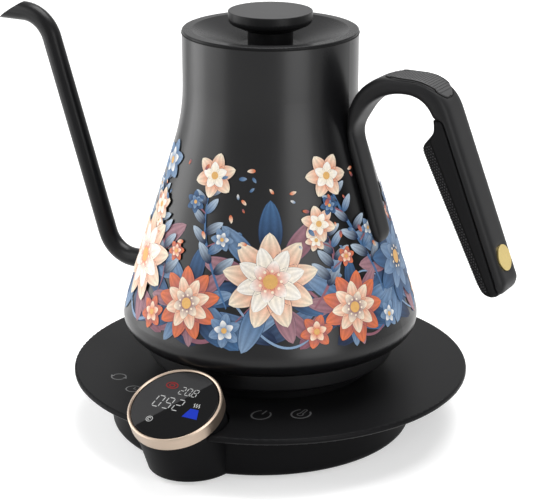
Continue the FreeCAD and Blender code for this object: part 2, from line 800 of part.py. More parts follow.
def dial_pieces():
    """The fixed display stack and the ring that turns round it on the tilted axis."""
    hub = turned("display_hub", [
        (f"{HUB_BORE} - hub_wall", FLANGE_SEAT),
        (f"{COLLAR_BORE} - fit_gap", FLANGE_SEAT),
        (f"{COLLAR_BORE} - fit_gap", FLANGE_TOP),
        ("hub_radius", FLANGE_TOP),
        ("hub_radius", "0 - lens_thickness"),
        (HUB_BORE, "0 - lens_thickness"),
        (HUB_BORE, BOARD_SEAT),
        (f"{HUB_BORE} - hub_wall", BOARD_SEAT),
    ])
    lens = turned("display_lens", [
        ("0", "0 - lens_thickness"),
        (LENS_RADIUS, "0 - lens_thickness"),
        (LENS_RADIUS, "0", "0.25 * lens_thickness"),
        ("0", "0"),
    ])
    module = turned("display_module", [
        ("0", BOARD_TOP),
        (f"{HUB_BORE} - 2 * fit_gap", BOARD_TOP),
        (f"{HUB_BORE} - 2 * fit_gap", "0 - lens_thickness"),
        ("0", "0 - lens_thickness"),
    ])
    board = turned("display_board", [
        ("0", BOARD_SEAT),
        (f"{HUB_BORE} - fit_gap", BOARD_SEAT),
        (f"{HUB_BORE} - fit_gap", BOARD_TOP),
        ("0", BOARD_TOP),
    ])
    sensor_side = "0.5 * skirt_wall"
    skirt_middle = "hub_radius + running_gap + 0.5 * skirt_wall"
    sensor_body = new_body("ring_sensor")
    slab(sensor_body, "XY_Plane", [
        (f"{skirt_middle} - {sensor_side}", f"0 - 3 * {sensor_side}"),
        (f"{skirt_middle} + {sensor_side}", f"0 - 3 * {sensor_side}"),
        (f"{skirt_middle} + {sensor_side}", f"3 * {sensor_side}"),
        (f"{skirt_middle} - {sensor_side}", f"3 * {sensor_side}"),
    ], "moving_gap", lift=FLANGE_TOP)

    dial_ring = turned("dial_ring", [
        (CARRIER_OUTER, RING_UNDER),
        ("dial_radius - dial_bevel", RING_UNDER),
        ("dial_radius", f"{RING_UNDER} + dial_bevel"),
        ("dial_radius", "0"),
        ("dial_radius - dial_bevel", "dial_bevel"),
        (f"{CARRIER_OUTER} + dial_bevel", "dial_bevel"),
        (CARRIER_OUTER, "0"),
    ])
    carrier = new_body("ring_carrier")
    revolve(carrier, [
        ("hub_radius + running_gap", SKIRT_END),
        (SKIRT_OUTER, SKIRT_END),
        (SKIRT_OUTER, RING_UNDER),
        (CARRIER_OUTER, RING_UNDER),
        (CARRIER_OUTER, "0 - lens_thickness - moving_gap"),
        ("hub_radius + running_gap", "0 - lens_thickness - moving_gap"),
    ])
    doc.recompute()
    notch_sketch = new_sketch(carrier, "YZ_Plane", "hub_radius")
    half = "0.35 * hub_radius * sin(180 / notch_count)"
    Outline(notch_sketch, [
        (f"0 - {half}", f"{SKIRT_END} - moving_gap"),
        (half, f"{SKIRT_END} - moving_gap"),
        (half, f"{SKIRT_END} + 0.5 * skirt_drop"),
        (f"0 - {half}", f"{SKIRT_END} + 0.5 * skirt_drop"),
    ])
    whole = carrier.Shape.Volume
    notch = carrier.newObject("PartDesign::Pocket", "encoder_notch")
    notch.Profile = notch_sketch
    notch.Reversed = True
    bind(notch, Length="2 * skirt_wall")
    doc.recompute()
    if carrier.Shape.Volume > whole - 1e-6:
        raise RuntimeError("the encoder notch cuts nothing")
    around(carrier, notch, "notch_count")

    for piece in (hub, lens, module, board, sensor_body, dial_ring, carrier):
        on_dial_axis(piece)
    return [dial_ring, carrier], [hub, lens, module, board, sensor_body]


ENVELOPE_TOP = [("neck_radius", RIM), ("neck_radius", NECK, "neck_blend")]
ENVELOPE_LOW = ("belly_radius", SHELL_FLOOR, "belly_round")


def kettle_pieces(envelope):
    """Steel shell and spout, the foot under it and the heater that closes the floor."""
    half_tilt = f"tan(0.5 * {CONE_TILT})"
    inner_low = f"{cone_radius('cone_height - shell_wall')} - shell_wall / cos({CONE_TILT})"
    wall = turned("shell_wall_form", ENVELOPE_TOP + [
        ENVELOPE_LOW,
        ("shell_lip", SHELL_FLOOR),
        ("shell_lip", PAN_SEAT),
        (inner_low, PAN_SEAT, "belly_round - shell_wall"),
        (NECK_BORE, f"{NECK} - shell_wall * {half_tilt}", "neck_blend + shell_wall"),
        (NECK_BORE, RIM),
    ])
    root = f"{SHELL_FLOOR} + spout_height"
    mouth = doc.addObject("Part::Cylinder", "spout_mouth")
    bind(mouth, Radius="spout_radius - spout_wall", Height="belly_radius")
    lean(mouth, FreeCAD.Vector(0, 1, 0), "0 - 90")
    shift(mouth, "0 - 0.5 * belly_radius", "0", root)
    kettle_shell = cut("kettle_shell", wall, mouth)

    spout_body = new_body("spout_tube")
    top = f"{SHELL_FLOOR} + spout_height + spout_top"
    path = new_sketch(spout_body, "XZ_Plane")
    Outline(path, [
        ("0 - neck_radius", root),
        ("0 - spout_reach", root, "spout_lower_bend"),
        ("0 - spout_reach - spout_lean", top, "spout_upper_bend"),
        ("0 - spout_reach - spout_lean - spout_tip", top),
    ], closed=False)
    section = new_sketch(spout_body, "YZ_Plane", "0 - neck_radius")
    draw_circle(section, "spout_radius", "0", root)
    draw_circle(section, "spout_radius - spout_wall", "0", root)
    doc.recompute()
    pipe = spout_body.newObject("PartDesign::AdditivePipe", "spout_pipe")
    pipe.Profile = section
    pipe.Spine = path
    doc.recompute()
    lip = "0 - spout_reach - spout_lean - spout_tip"
    tip = spout_body.newObject("PartDesign::Pocket", "spout_tip_cut")
    tip_sketch = new_sketch(spout_body, "XZ_Plane")
    Outline(tip_sketch, [
        (f"{lip} - spout_radius", f"{top} - spout_radius"),
        (f"{lip}", f"{top} - spout_radius"),
        (f"{lip} + spout_cut", f"{top} + spout_radius"),
        (f"{lip} + spout_cut", f"{top} + 2 * spout_radius"),
        (f"{lip} - spout_radius", f"{top} + 2 * spout_radius"),
    ])
    tip.Profile = tip_sketch
    tip.SideType = "Symmetric"
    bind(tip, Length="4 * spout_radius")
    spout_body.Tip = tip
    spout = cut("spout", spout_body, envelope)

    foot_inner = "skirt_radius - skirt_shell"
    foot_cup = turned("foot_cup", [
        ("cup_outer + fit_gap", DOCK_TOP),
        ("skirt_radius", DOCK_TOP, "skirt_edge"),
        ("skirt_radius", SHELL_FLOOR),
        (foot_inner, SHELL_FLOOR),
        (foot_inner, SKIRT_FLOOR),
        ("cup_outer + fit_gap", SKIRT_FLOOR),
    ])
    foot_bores = new_body("foot_bores")
    around(foot_bores, rings(foot_bores, DOCK_TOP, "skirt_height",
                             ("screw_radius + fit_gap", "stud_circle", "0")), "3", "30")
    foot_sinks = new_body("foot_sinks")
    sink_top = f"{DOCK_TOP} + 0.6 * skirt_shell"
    around(foot_sinks, rings(foot_sinks, f"{DOCK_TOP} - skirt_shell", "1.6 * skirt_shell",
                             ("screw_head + fit_gap", "stud_circle", "0")), "3", "30")
    kettle_foot = carved("kettle_foot", foot_cup, foot_bores, foot_sinks)

    studs = new_body("foot_studs")
    around(studs, rings(studs, SKIRT_FLOOR, f"({PAN_UNDER}) - ({SKIRT_FLOOR})",
                        ("stud_radius", "stud_circle", "0"),
                        ("screw_radius + thread_gap", "stud_circle", "0")), "3", "30")
    foot_screws = screws("foot_screws", f"{SKIRT_FLOOR} + screw_bite", sink_top,
                         "0.5 * skirt_shell", "stud_circle", "3", "30")
    return [kettle_shell, spout, kettle_foot, studs, foot_screws]


def heater_pieces():
    """Floor pan with its element, cut-out, probe and the kettle's half of the connector."""
    pan_form = turned("pan_form", [
        ("0", PAN_UNDER),
        ("pan_radius", PAN_UNDER),
        ("pan_radius + 0.4 * pan_wall", PAN_SEAT),
        ("pan_rim", PAN_SEAT),
        ("pan_rim", f"{PAN_SEAT} + pan_wall"),
        ("pan_radius + 1.4 * pan_wall", f"{PAN_SEAT} + pan_wall"),
        ("pan_radius + pan_wall", f"{PAN_UNDER} + pan_wall", "pan_wall"),
        ("0", f"{PAN_UNDER} + pan_wall"),
    ])
    probe_hole = doc.addObject("Part::Cylinder", "probe_hole")
    bind(probe_hole, Radius="probe_radius + seal_lip", Height="4 * pan_wall")
    shift(probe_hole, "0", "probe_circle", f"{PAN_UNDER} - pan_wall")
    heater_plate = cut("heater_plate", pan_form, probe_hole)

    disc = turned("spreader_disc", [
        ("spreader_bore", SPREADER_UNDER),
        ("spreader_radius", SPREADER_UNDER),
        ("spreader_radius", PAN_UNDER),
        ("spreader_bore", PAN_UNDER),
    ])
    channel = doc.addObject("Part::Torus", "element_channel")
    bind(channel, Radius1="element_circle", Radius2="element_radius + fit_gap")
    shift(channel, up=SPREADER_UNDER)
    heat_spreader = cut("heat_spreader", disc, channel)

    element = new_body("heating_element")
    sketch = new_sketch(element, "XZ_Plane")
    draw_circle(sketch, "element_radius", "element_circle", SPREADER_UNDER)
    coil = element.newObject("PartDesign::Revolution", "element_coil")
    coil.Profile = sketch
    coil.ReferenceAxis = (sketch, ["V_Axis"])
    coil.Midplane = True
    bind(coil, Angle="element_angle")
    lean(element, FreeCAD.Vector(0, 0, 1), "180")

    half_gap = "(180 - 0.5 * element_angle)"
    reach = f"0.5 * (element_circle * sin({half_gap}) - cutout_radius)"
    pins = []
    for side, turn in (("", 1), ("0 - ", -1)):
        pin = doc.addObject("Part::Cylinder", "terminal_pin")
        bind(pin, Radius="terminal_radius", Height=reach)
        around_z = FreeCAD.Rotation(FreeCAD.Vector(0, 0, 1), turn * value(half_gap))
        flat = FreeCAD.Rotation(FreeCAD.Vector(1, 0, 0), turn * 90)
        pin.Placement.Rotation = around_z.multiply(flat)
        shift(pin, f"element_circle * cos({half_gap})", f"{side}element_circle * sin({half_gap})",
              SPREADER_UNDER)
        pins.append(pin)
    terminals = doc.addObject("Part::Compound", "element_terminals")
    terminals.Label = "element_terminals"
    terminals.Links = pins

    cutout = doc.addObject("Part::Cylinder", "thermal_cutout")
    cutout.Label = "thermal_cutout"
    bind(cutout, Radius="cutout_radius", Height="cutout_height")
    shift(cutout, "element_circle", "0", f"{SPREADER_UNDER} - cutout_height")

    probe = turned("temperature_probe", [
        ("0", f"{PAN_UNDER} - 3 * pan_wall"),
        ("probe_radius", f"{PAN_UNDER} - 3 * pan_wall"),
        ("probe_radius", f"{PAN_UNDER} + probe_rise", "0.8 * probe_radius"),
        ("0", f"{PAN_UNDER} + probe_rise"),
    ])
    shift(probe, along="probe_circle")
    neck = "probe_radius + seal_lip"
    lip = "probe_radius + 2 * seal_lip"
    seal = turned("probe_seal", [
        ("probe_radius", f"{PAN_UNDER} - seal_lip"),
        (lip, f"{PAN_UNDER} - seal_lip"),
        (lip, PAN_UNDER),
        (neck, PAN_UNDER),
        (neck, f"{PAN_UNDER} + pan_wall"),
        (lip, f"{PAN_UNDER} + pan_wall"),
        (lip, f"{PAN_UNDER} + pan_wall + seal_lip", "0.5 * seal_lip"),
        ("probe_radius", f"{PAN_UNDER} + pan_wall + seal_lip"),
    ])
    shift(seal, along="probe_circle")

    ceiling = f"{PLUG_TOP} + 3 * contact_play"
    flange_top = f"{SKIRT_FLOOR} + socket_flange"
    connector = turned("kettle_connector", [
        ("cup_bore", f"{DOCK_TOP} + moving_gap"),
        ("cup_outer", f"{DOCK_TOP} + moving_gap"),
        ("cup_outer", SKIRT_FLOOR),
        ("cup_outer + socket_wall", SKIRT_FLOOR),
        ("cup_outer + socket_wall", flange_top),
        ("cup_outer", flange_top),
        ("cup_outer", f"{ceiling} + socket_flange"),
        ("0", f"{ceiling} + socket_flange"),
        ("0", ceiling),
        ("cup_bore", ceiling),
    ])
    tips = f"{DOCK_TOP} + 3 * moving_gap"
    contacts = new_body("kettle_contacts")
    rings(contacts, tips, f"({ceiling}) - ({tips})", ("pin_radius",), ("sleeve_radius",), (SLEEVE_BORE,))
    return [heater_plate, heat_spreader, element, terminals, cutout, probe, seal, connector, contacts]


GRIP_RISE = "atan(grip_drop / (grip_reach - arch_reach))"


def outer_line(drop, inset="0"):
    """Where the handle's outer straight lies, a drop below the handle's top and inset from it."""
    run = f"(grip_reach - arch_reach) * ({drop}) / grip_drop"
    return f"neck_radius + arch_reach + {run} - ({inset}) / sin({GRIP_RISE})"


def below_neck(drop):
    """How far below the end of the neck a given drop from the handle's top lies."""
    return f"{drop} + handle_drop - neck_height"


def handle_form():
    """The whole moulded hook: arch, leg along the kettle's cone and leaning grip."""
    back = "neck_radius + handle_standoff"
    sunk = "neck_radius - leg_depth"
    arch_under = f"{HANDLE_TOP} - arch_thickness"
    grip_end = f"{HANDLE_TOP} - grip_drop"
    nose = f"{outer_line('nose_drop')} - grip_depth"
    throat = f"{outer_line('nose_drop - nose_rise')} - grip_depth + throat_setback"
    crook = f"{HANDLE_TOP} - crook_drop"
    leg_foot = f"{HANDLE_TOP} - leg_drop"
    leg_face = f"{cone_radius(below_neck('crook_drop'))} + leg_depth"
    leg_toe = f"{cone_radius(below_neck('leg_drop'))} + leg_depth"

    form = new_body("handle_form")
    side = slab(form, "XZ_Plane", [
        (sunk, leg_foot),
        (leg_toe, leg_foot, "leg_end_round"),
        (leg_face, crook, "leg_crook_round"),
        (f"{leg_face} + 0.5 * arch_inner_round", arch_under, "arch_inner_round"),
        (throat, arch_under, "arch_outer_round"),
        (throat, f"{HANDLE_TOP} - nose_drop + nose_rise", "nose_hollow"),
        (nose, f"{HANDLE_TOP} - nose_drop", "nose_round"),
        (f"{outer_line('grip_drop')} - grip_end_depth", f"{grip_end} + 0.15 * grip_end_depth",
         "grip_end_round"),
        (outer_line("grip_drop"), grip_end, "grip_tip_round"),
        (outer_line("0"), HANDLE_TOP, "arch_round"),
        (back, HANDLE_TOP, "handle_back_round"),
        (back, f"{HANDLE_TOP} - handle_back_round - 0.5 * leg_depth", "leg_depth"),
        (sunk, f"{HANDLE_TOP} - handle_back_round - 2 * leg_depth", "leg_depth"),
    ], "handle_width", middle=True)
    doc.recompute()

    half = value("0.5 * handle_width")
    rim = [f"Edge{number}" for number, edge in enumerate(side.Shape.Edges, start=1)
           if edge.BoundBox.YLength < 1e-3 and abs(abs(edge.CenterOfMass.y) - half) < 1e-3]
    rounding = form.newObject("PartDesign::Fillet", "handle_rounding")
    rounding.Base = (side, rim)
    bind(rounding, Radius="handle_round")
    doc.recompute()

    leg_half = "0.5 * leg_width"
    beyond = "handle_width"
    trim = new_sketch(form, "YZ_Plane", f"{leg_toe} + leg_depth")
    Outline(trim, [
        (f"0 - {beyond}", f"{leg_foot} - leg_depth"),
        (beyond, f"{leg_foot} - leg_depth"),
        (beyond, arch_under),
        ("0.5 * handle_width + handle_standoff", arch_under),
        (leg_half, f"{crook} - leg_depth", "2 * leg_width"),
        (leg_half, leg_foot, "0.46 * leg_width"),
        (f"0 - {leg_half}", leg_foot, "0.46 * leg_width"),
        (f"0 - {leg_half}", f"{crook} - leg_depth", "2 * leg_width"),
        ("0 - 0.5 * handle_width - handle_standoff", arch_under),
        (f"0 - {beyond}", arch_under),
    ])
    sides = form.newObject("PartDesign::Pocket", "leg_sides")
    sides.Profile = trim
    bind(sides, Length="plate_radius")
    doc.recompute()

    half = value(leg_half)
    fronts = [f"Edge{number}" for number, edge in enumerate(sides.Shape.Edges, start=1)
              if abs(abs(edge.CenterOfMass.y) - half) < 1e-3 and edge.Length > value("2 * leg_width")
              and edge.CenterOfMass.x > value(back)]
    softening = form.newObject("PartDesign::Fillet", "leg_rounding")
    softening.Base = (sides, fronts)
    bind(softening, Radius="leg_round")
    return form


def bracket_block(label, gap):
    """The strip on the kettle's cone that the handle's leg sits over, grown by a gap."""
    body = new_body(label)
    low = f"bracket_drop + 0.5 * bracket_length + {gap}"
    high = f"bracket_drop - 0.5 * bracket_length - {gap}"
    ends = [(cone_radius(below_neck(drop)), f"{HANDLE_TOP} - ({drop})") for drop in (low, high)]
    slab(body, "XZ_Plane", [
        (f"{ends[0][0]} - bracket_thickness", ends[0][1]),
        (f"{ends[0][0]} + bracket_thickness + {gap}", ends[0][1]),
        (f"{ends[1][0]} + bracket_thickness + {gap}", ends[1][1]),
        (f"{ends[1][0]} - bracket_thickness", ends[1][1]),
    ], f"bracket_width + 2 * {gap}", middle=True)
    return body


def cross_pin(label, gap, length):
    """The blind pin that holds the leg to its bracket, pressed in from the far side."""
    pin = doc.addObject("Part::Cylinder", label)
    pin.Label = label
    bind(pin, Radius=f"cross_pin_radius + {gap}", Height=length)
    lean(pin, FreeCAD.Vector(1, 0, 0), "0 - 90")
    return shift(pin, f"{cone_radius(below_neck('bracket_drop'))} + 0.5 * bracket_thickness",
                 "0 - 0.3 * leg_width", f"{HANDLE_TOP} - bracket_drop")


def badge_disc(label, gap):
    """A plain disc let into the grip's outer straight, square to it."""
    disc = doc.addObject("Part::Cylinder", label)
    disc.Label = label
    bind(disc, Radius=f"badge_radius + {gap}", Height="badge_thickness")
    lean(disc, FreeCAD.Vector(0, 1, 0), GRIP_RISE)
    sunk = "0.6 * badge_thickness"
    return shift(disc, f"{outer_line('badge_drop')} - {sunk} * sin({GRIP_RISE})", "0",
                 f"{HANDLE_TOP} - badge_drop - {sunk} * cos({GRIP_RISE})")


def thumb_zone():
    """The layer of the arch's top that the thumb pad takes up."""
    start = "neck_radius + thumb_start"
    layer = new_body("thumb_layer")
    under = f"{HANDLE_TOP} - thumb_thickness"
    slab(layer, "XZ_Plane", [
        (start, f"{HANDLE_TOP} + arch_thickness"),
        (start, under),
        (outer_line("thumb_thickness", "thumb_thickness"), under, "arch_round - thumb_thickness"),
        (outer_line("nose_drop", "thumb_thickness"), f"{HANDLE_TOP} - nose_drop"),
        (f"{outer_line('nose_drop')} + arch_thickness", f"{HANDLE_TOP} - nose_drop"),
        (f"{outer_line('nose_drop')} + arch_thickness", f"{HANDLE_TOP} + arch_thickness"),
    ], "2 * handle_width", middle=True)
    plan = new_body("thumb_plan")
    half = "0.5 * thumb_width"
    end = f"{start} + thumb_length"
    corner = "0.45 * thumb_width"
    slab(plan, "XY_Plane", [
        (start, f"0 - {half}", corner),
        (end, f"0 - {half}", corner),
        (end, half, corner),
        (start, half, corner),
    ], "2 * nose_drop", lift=f"{HANDLE_TOP} - nose_drop")
    return common("thumb_zone", layer, plan)


def handle_pieces(envelope):
    """The hook form divided into frame, finger grip and thumb pad, with bracket, pin and badge."""
    form = handle_form()
    inner = "band_thickness"
    top = "grip_top_drop"
    low = "grip_drop + grip_depth"
    grip_zone = new_body("grip_zone")
    slab(grip_zone, "XZ_Plane", [
        (outer_line(top, inner), f"{HANDLE_TOP} - {top}"),
        (outer_line(low, inner), f"{HANDLE_TOP} - ({low})"),
        (f"{outer_line('nose_drop')} - 1.5 * grip_depth", f"{HANDLE_TOP} - ({low})"),
        (f"{outer_line('nose_drop')} - 1.5 * grip_depth", f"{HANDLE_TOP} - {top}"),
    ], "2 * handle_width", middle=True)
    finger_grip = common("finger_grip", form, grip_zone)
    zone = thumb_zone()
    thumb_pad = common("thumb_pad", form, zone)

    pin_hole = cross_pin("pin_hole", "thread_gap", "handle_width")
    neck_space = doc.addObject("Part::Cylinder", "neck_space")
    bind(neck_space, Radius="neck_radius + handle_standoff", Height="cone_height")
    shift(neck_space, up=f"{NECK} - 0.5 * neck_height")
    handle_frame = carved("handle_frame", form, grip_zone, zone, badge_disc("badge_recess", "fit_gap"),
                          bracket_block("bracket_pocket", "fit_gap"), pin_hole, envelope, neck_space)
    bracket = carved("handle_bracket", bracket_block("bracket_strip", "0"), envelope, pin_hole)
    pin = cross_pin("handle_pin", "0", "0.7 * leg_width")
    badge = badge_disc("handle_badge", "0")
    return [handle_frame, finger_grip, thumb_pad, bracket, pin, badge]


def lid_pieces():
    """A dished lid with a hollow plug cup, a sealing ring and a knob on a stem."""
    flange_in = "neck_radius - lid_flange"
    hole = "screw_radius + fit_gap"
    dish = turned("lid_dish", [
        (hole, f"{LID_WELL} - lid_sheet"),
        ("lid_well - lid_sheet", f"{LID_WELL} - lid_sheet", "4 * lid_sheet"),
        (f"{flange_in} - lid_sheet", RIM, "lid_sheet"),
        ("neck_radius", RIM),
        ("neck_radius", LID_TOP, "0.4 * lid_rim_height"),
        (flange_in, LID_TOP, "lid_sheet"),
        ("lid_well", LID_WELL, "3 * lid_sheet"),
        (hole, LID_WELL),
    ])
    floor = f"{RIM} - lid_cup_depth"
    groove_low = f"{floor} + 0.5 * (lid_cup_depth - lid_seal_height)"
    groove_high = f"{groove_low} + lid_seal_height"
    groove = "lid_cup_radius - lid_seal_depth"
    cup = turned("lid_cup", [
        ("0", floor),
        ("lid_cup_radius", floor, "2 * lid_cup_wall"),
        ("lid_cup_radius", groove_low),
        (groove, groove_low),
        (groove, groove_high),
        ("lid_cup_radius", groove_high),
        ("lid_cup_radius", RIM),
        ("lid_cup_radius - lid_cup_wall", RIM),
        ("lid_cup_radius - lid_cup_wall", f"{floor} + lid_cup_wall", "lid_cup_wall"),
        ("0", f"{floor} + lid_cup_wall"),
    ])
    seal = turned("lid_seal", [
        (groove, groove_low),
        ("lid_cup_radius", groove_low),
        (f"{NECK_BORE} - running_gap", f"{groove_low} + 0.35 * lid_seal_height"),
        (f"{NECK_BORE} - running_gap", f"{groove_low} + 0.65 * lid_seal_height"),
        ("lid_cup_radius", groove_high),
        (groove, groove_high),
    ])
    stem_top = f"{LID_WELL} + stem_height"
    knob_top = f"{stem_top} + knob_height"
    spigot = "0.5 * stem_radius"
    spigot_top = f"{stem_top} + 0.4 * knob_height"
    thread_end = f"{LID_WELL} + screw_bite + screw_radius"
    stem = turned("knob_stem", [
        ("screw_radius + thread_gap", LID_WELL),
        ("stem_radius", LID_WELL),
        ("stem_radius", stem_top),
        (spigot, stem_top),
        (spigot, spigot_top),
        ("0", spigot_top),
        ("0", thread_end),
        ("screw_radius + thread_gap", thread_end),
    ])
    cap = turned("knob_cap", [
        (f"{spigot} + fit_gap", stem_top),
        ("1.1 * stem_radius", stem_top, "knob_hollow"),
        ("knob_radius", f"{knob_top} - knob_edge", "knob_round"),
        ("knob_radius", knob_top, "knob_bevel"),
        ("0", knob_top),
        ("0", spigot_top),
        (f"{spigot} + fit_gap", spigot_top),
    ])
    head_seat = f"{LID_WELL} - lid_sheet"
    screw = turned("lid_screw", [
        ("0", f"{head_seat} - screw_head_height"),
        ("screw_head", f"{head_seat} - screw_head_height"),
        ("screw_head", head_seat),
        ("screw_radius", head_seat),
        ("screw_radius", f"{LID_WELL} + screw_bite"),
        ("0", f"{LID_WELL} + screw_bite"),
    ])
    return [dish, cup, seal, stem, cap, screw]


def write_out(pieces):
    """Check every object of the document, then write each piece to its own file."""
    doc.recompute()
    for item in doc.Objects:
        if {"Invalid", "Error"} & set(item.State):
            raise RuntimeError(f"{item.Label} did not build: {item.State}")
    os.makedirs("parts", exist_ok=True)
    for piece in pieces:
        shape = piece.Shape
        if shape.isNull() or not shape.isValid() or not shape.Solids:
            raise RuntimeError(f"{piece.Label} has no valid solid")
        shape.exportStep(f"parts/{piece.Label}.step")
    print(len(pieces), "pieces written")


def build():
    envelope = turned("kettle_envelope", [("0", RIM)] + ENVELOPE_TOP + [ENVELOPE_LOW, ("0", SHELL_FLOOR)])
    dock_ring, socket = dock_pieces()
    moving_dial, fixed_dial = dial_pieces()
    write_out(base_pieces() + [dock_ring] + socket + board_pieces() + moving_dial + fixed_dial
              + kettle_pieces(envelope) + heater_pieces() + handle_pieces(envelope) + lid_pieces())


build()
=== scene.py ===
"""Finishes, printed garland, lit dial, touch icons and studio for the gooseneck kettle."""

import json
import math
from collections import namedtuple

import bmesh
import bpy
import numpy as np
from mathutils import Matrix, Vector
from mathutils.bvhtree import BVHTree
from mathutils.geometry import convex_hull_2d


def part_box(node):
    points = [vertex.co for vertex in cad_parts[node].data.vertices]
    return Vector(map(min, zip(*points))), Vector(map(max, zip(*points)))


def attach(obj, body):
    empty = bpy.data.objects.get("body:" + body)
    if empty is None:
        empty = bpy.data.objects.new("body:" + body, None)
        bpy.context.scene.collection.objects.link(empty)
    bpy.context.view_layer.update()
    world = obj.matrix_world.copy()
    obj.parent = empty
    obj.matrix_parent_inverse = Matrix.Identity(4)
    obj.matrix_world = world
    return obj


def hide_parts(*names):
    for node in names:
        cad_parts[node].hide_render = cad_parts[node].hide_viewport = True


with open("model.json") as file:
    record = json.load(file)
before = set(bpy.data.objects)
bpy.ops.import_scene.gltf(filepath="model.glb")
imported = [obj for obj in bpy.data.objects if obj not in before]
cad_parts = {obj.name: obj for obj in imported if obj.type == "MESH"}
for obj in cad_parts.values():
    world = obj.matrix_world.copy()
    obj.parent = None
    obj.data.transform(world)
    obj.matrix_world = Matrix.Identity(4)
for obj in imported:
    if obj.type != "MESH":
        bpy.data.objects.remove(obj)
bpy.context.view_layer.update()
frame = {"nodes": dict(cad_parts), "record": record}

bl_info = {
    "name": "Gooseneck kettle looks",
    "version": (1, 0, 0),
    "blender": (4, 5, 0),
    "location": "View3D > Sidebar > Kettle",
    "description": "Dresses the packed kettle with finishes, print, display and studio",
    "category": "Object",
}

MM = 0.001
NODES = frame["nodes"]
SLOTS = {entry["node"]: entry["material_slot"] for entry in frame["record"]["subparts"]}

# Inks of the print
CREAM = (0.80, 0.70, 0.55)
CORAL = (0.66, 0.17, 0.07)
SLATE = (0.055, 0.125, 0.25)
DENIM = (0.12, 0.20, 0.34)
SKY = (0.19, 0.28, 0.41)
MIST = (0.42, 0.51, 0.61)
MAUVE = (0.22, 0.09, 0.12)
ROSE = (0.34, 0.19, 0.22)
NAVY = (0.012, 0.022, 0.055)
PEARL = (0.82, 0.79, 0.74)
GOLDEN = (0.62, 0.36, 0.12)
TONES = (
    (CORAL, CREAM, PEARL),
    (NAVY, SLATE, SKY),
    (MAUVE, CORAL, CREAM),
    (SLATE, SKY, PEARL),
)

# Layout of the print: sizes in metres, turns in radians, a leaf's width as a share of its length
CELL_TURN = 0.036
CELL_RISE = 0.0022
PRINT_FOOT = 0.056
FLORET_HEIGHT = 0.0650
STEM_FOOT = 0.076
DRIFT_HEIGHT = 0.117
DRIFT_BAND = 0.04
LEAF_WIDTH = 0.30
ROW_HEIGHTS = (0.087, 0.0745)
ROW_RADII = (0.0215, 0.0165)
STEM_TOPS = (0.112, 0.132)
CROWN_RADII = (0.0085, 0.0105)

# Whorls of a blossom: a share of its radius, a turn, the petals' shape, two tones and the veins' depth
Whorl = namedtuple("Whorl", "size turn shape inner outer vein")
PetalShape = namedtuple("PetalShape", "petals hub length width point")
BLOSSOM = (
    Whorl(1.0, 0.0, PetalShape(9, 0.10, 0.90, 0.50, 0.80), 0, 1, 0.25),
    Whorl(0.72, 0.35, PetalShape(8, 0.10, 0.90, 0.52, 0.80), 1, 2, 0.2),
    Whorl(0.44, 0.1, PetalShape(6, 0.10, 0.90, 0.66, 0.80), 0, 2, 0.1),
)
FLORET = (
    Whorl(1.0, 0.0, PetalShape(6, 0.08, 0.92, 0.66, 0.80), 0, 1, 0.2),
    Whorl(0.6, 0.5, PetalShape(5, 0.08, 0.92, 0.72, 0.80), 1, 2, 0.1),
)

# Making of the handle's visible pieces: lengths in metres, and the least upward part of a pad normal
MERGE_GAP = 1e-6
VOXEL = 0.0007
PROBE = 0.03
PAD_MARGIN = 0.0014
PAD_SLOPE = 0.3


def colour(label, text, value):
    """A colour property with its default."""
    return bpy.props.FloatVectorProperty(
        name=label, description=text, subtype="COLOR", size=3, min=0.0, max=1.0, default=value
    )


def length(label, text, value):
    """A length property in metres."""
    return bpy.props.FloatProperty(name=label, description=text, unit="LENGTH", precision=5, default=value)


def share(label, text, value):
    """A property between nought and one."""
    return bpy.props.FloatProperty(
        name=label, description=text, subtype="FACTOR", min=0.0, max=1.0, default=value
    )


def angle(label, text, value):
    """An angle property, its default given in degrees."""
    return bpy.props.FloatProperty(
        name=label, description=text, unit="ROTATION", subtype="ANGLE", default=math.radians(value)
    )


def amount(label, text, value):
    """A plain number property."""
    return bpy.props.FloatProperty(name=label, description=text, default=value)


def whole(label, text, value):
    """A whole number property, nought or more."""
    return bpy.props.IntProperty(name=label, description=text, min=0, default=value)


class KettleFinish(bpy.types.PropertyGroup):
    """Colours and roughness of the outer finishes, a painted reflection on the dial glass, and the form of
    the handle.
    """

    coat: colour("Coat", "Satin powder coat of shell and spout", (0.0035, 0.0035, 0.004))
    coat_roughness: share("Coat roughness", "Mean roughness of the powder coat", 0.29)
    moulding: colour("Moulding", "Black moulded plastic of handle and base", (0.0045, 0.0045, 0.005))
    moulding_roughness: share("Moulding roughness", "Mean roughness of the mouldings", 0.46)
    gold: colour("Gold", "Champagne metal of the dial ring", (0.42, 0.335, 0.265))
    gold_roughness: share("Gold roughness", "Mean roughness of the brushed metal", 0.36)
    glass: colour("Glass", "Black glass of the dial", (0.002, 0.002, 0.0023))
    # Painted reflection: the colour of the lighter upper left half of the dial glass.
    glass_painted_reflection: colour("Glass painted reflection", "Lighter half of the dial glass", (0.030, 0.030, 0.031))
    panel: colour("Panel", "Smooth side of the grip", (0.008, 0.008, 0.0085))
    dot_pitch: length("Dot pitch", "Distance between the raised dots", 0.0012)
    dot_size: length("Dot size", "Radius of each raised dot", 0.0004)
    dot_height: length("Dot height", "Height of each raised dot", 0.00022)
    frame_passes: whole("Frame passes", "Smoothing of the handle", 50)
    grip_passes: whole("Grip passes", "Smoothing of the grip", 16)
    end_length: length("End length", "Length of the handle's rounded end", 0.03)
    end_power: amount("End power", "Fullness of the rounded end", 2.3)
    strip_width: length("Strip width", "Width of the dotted strip", 0.0052)
    strip_end: length("Strip end", "Depth of the grip's lower end", 0.0095)
    strip_drop: length("Strip drop", "Drop of the grip's nose below its top", 0.0130)


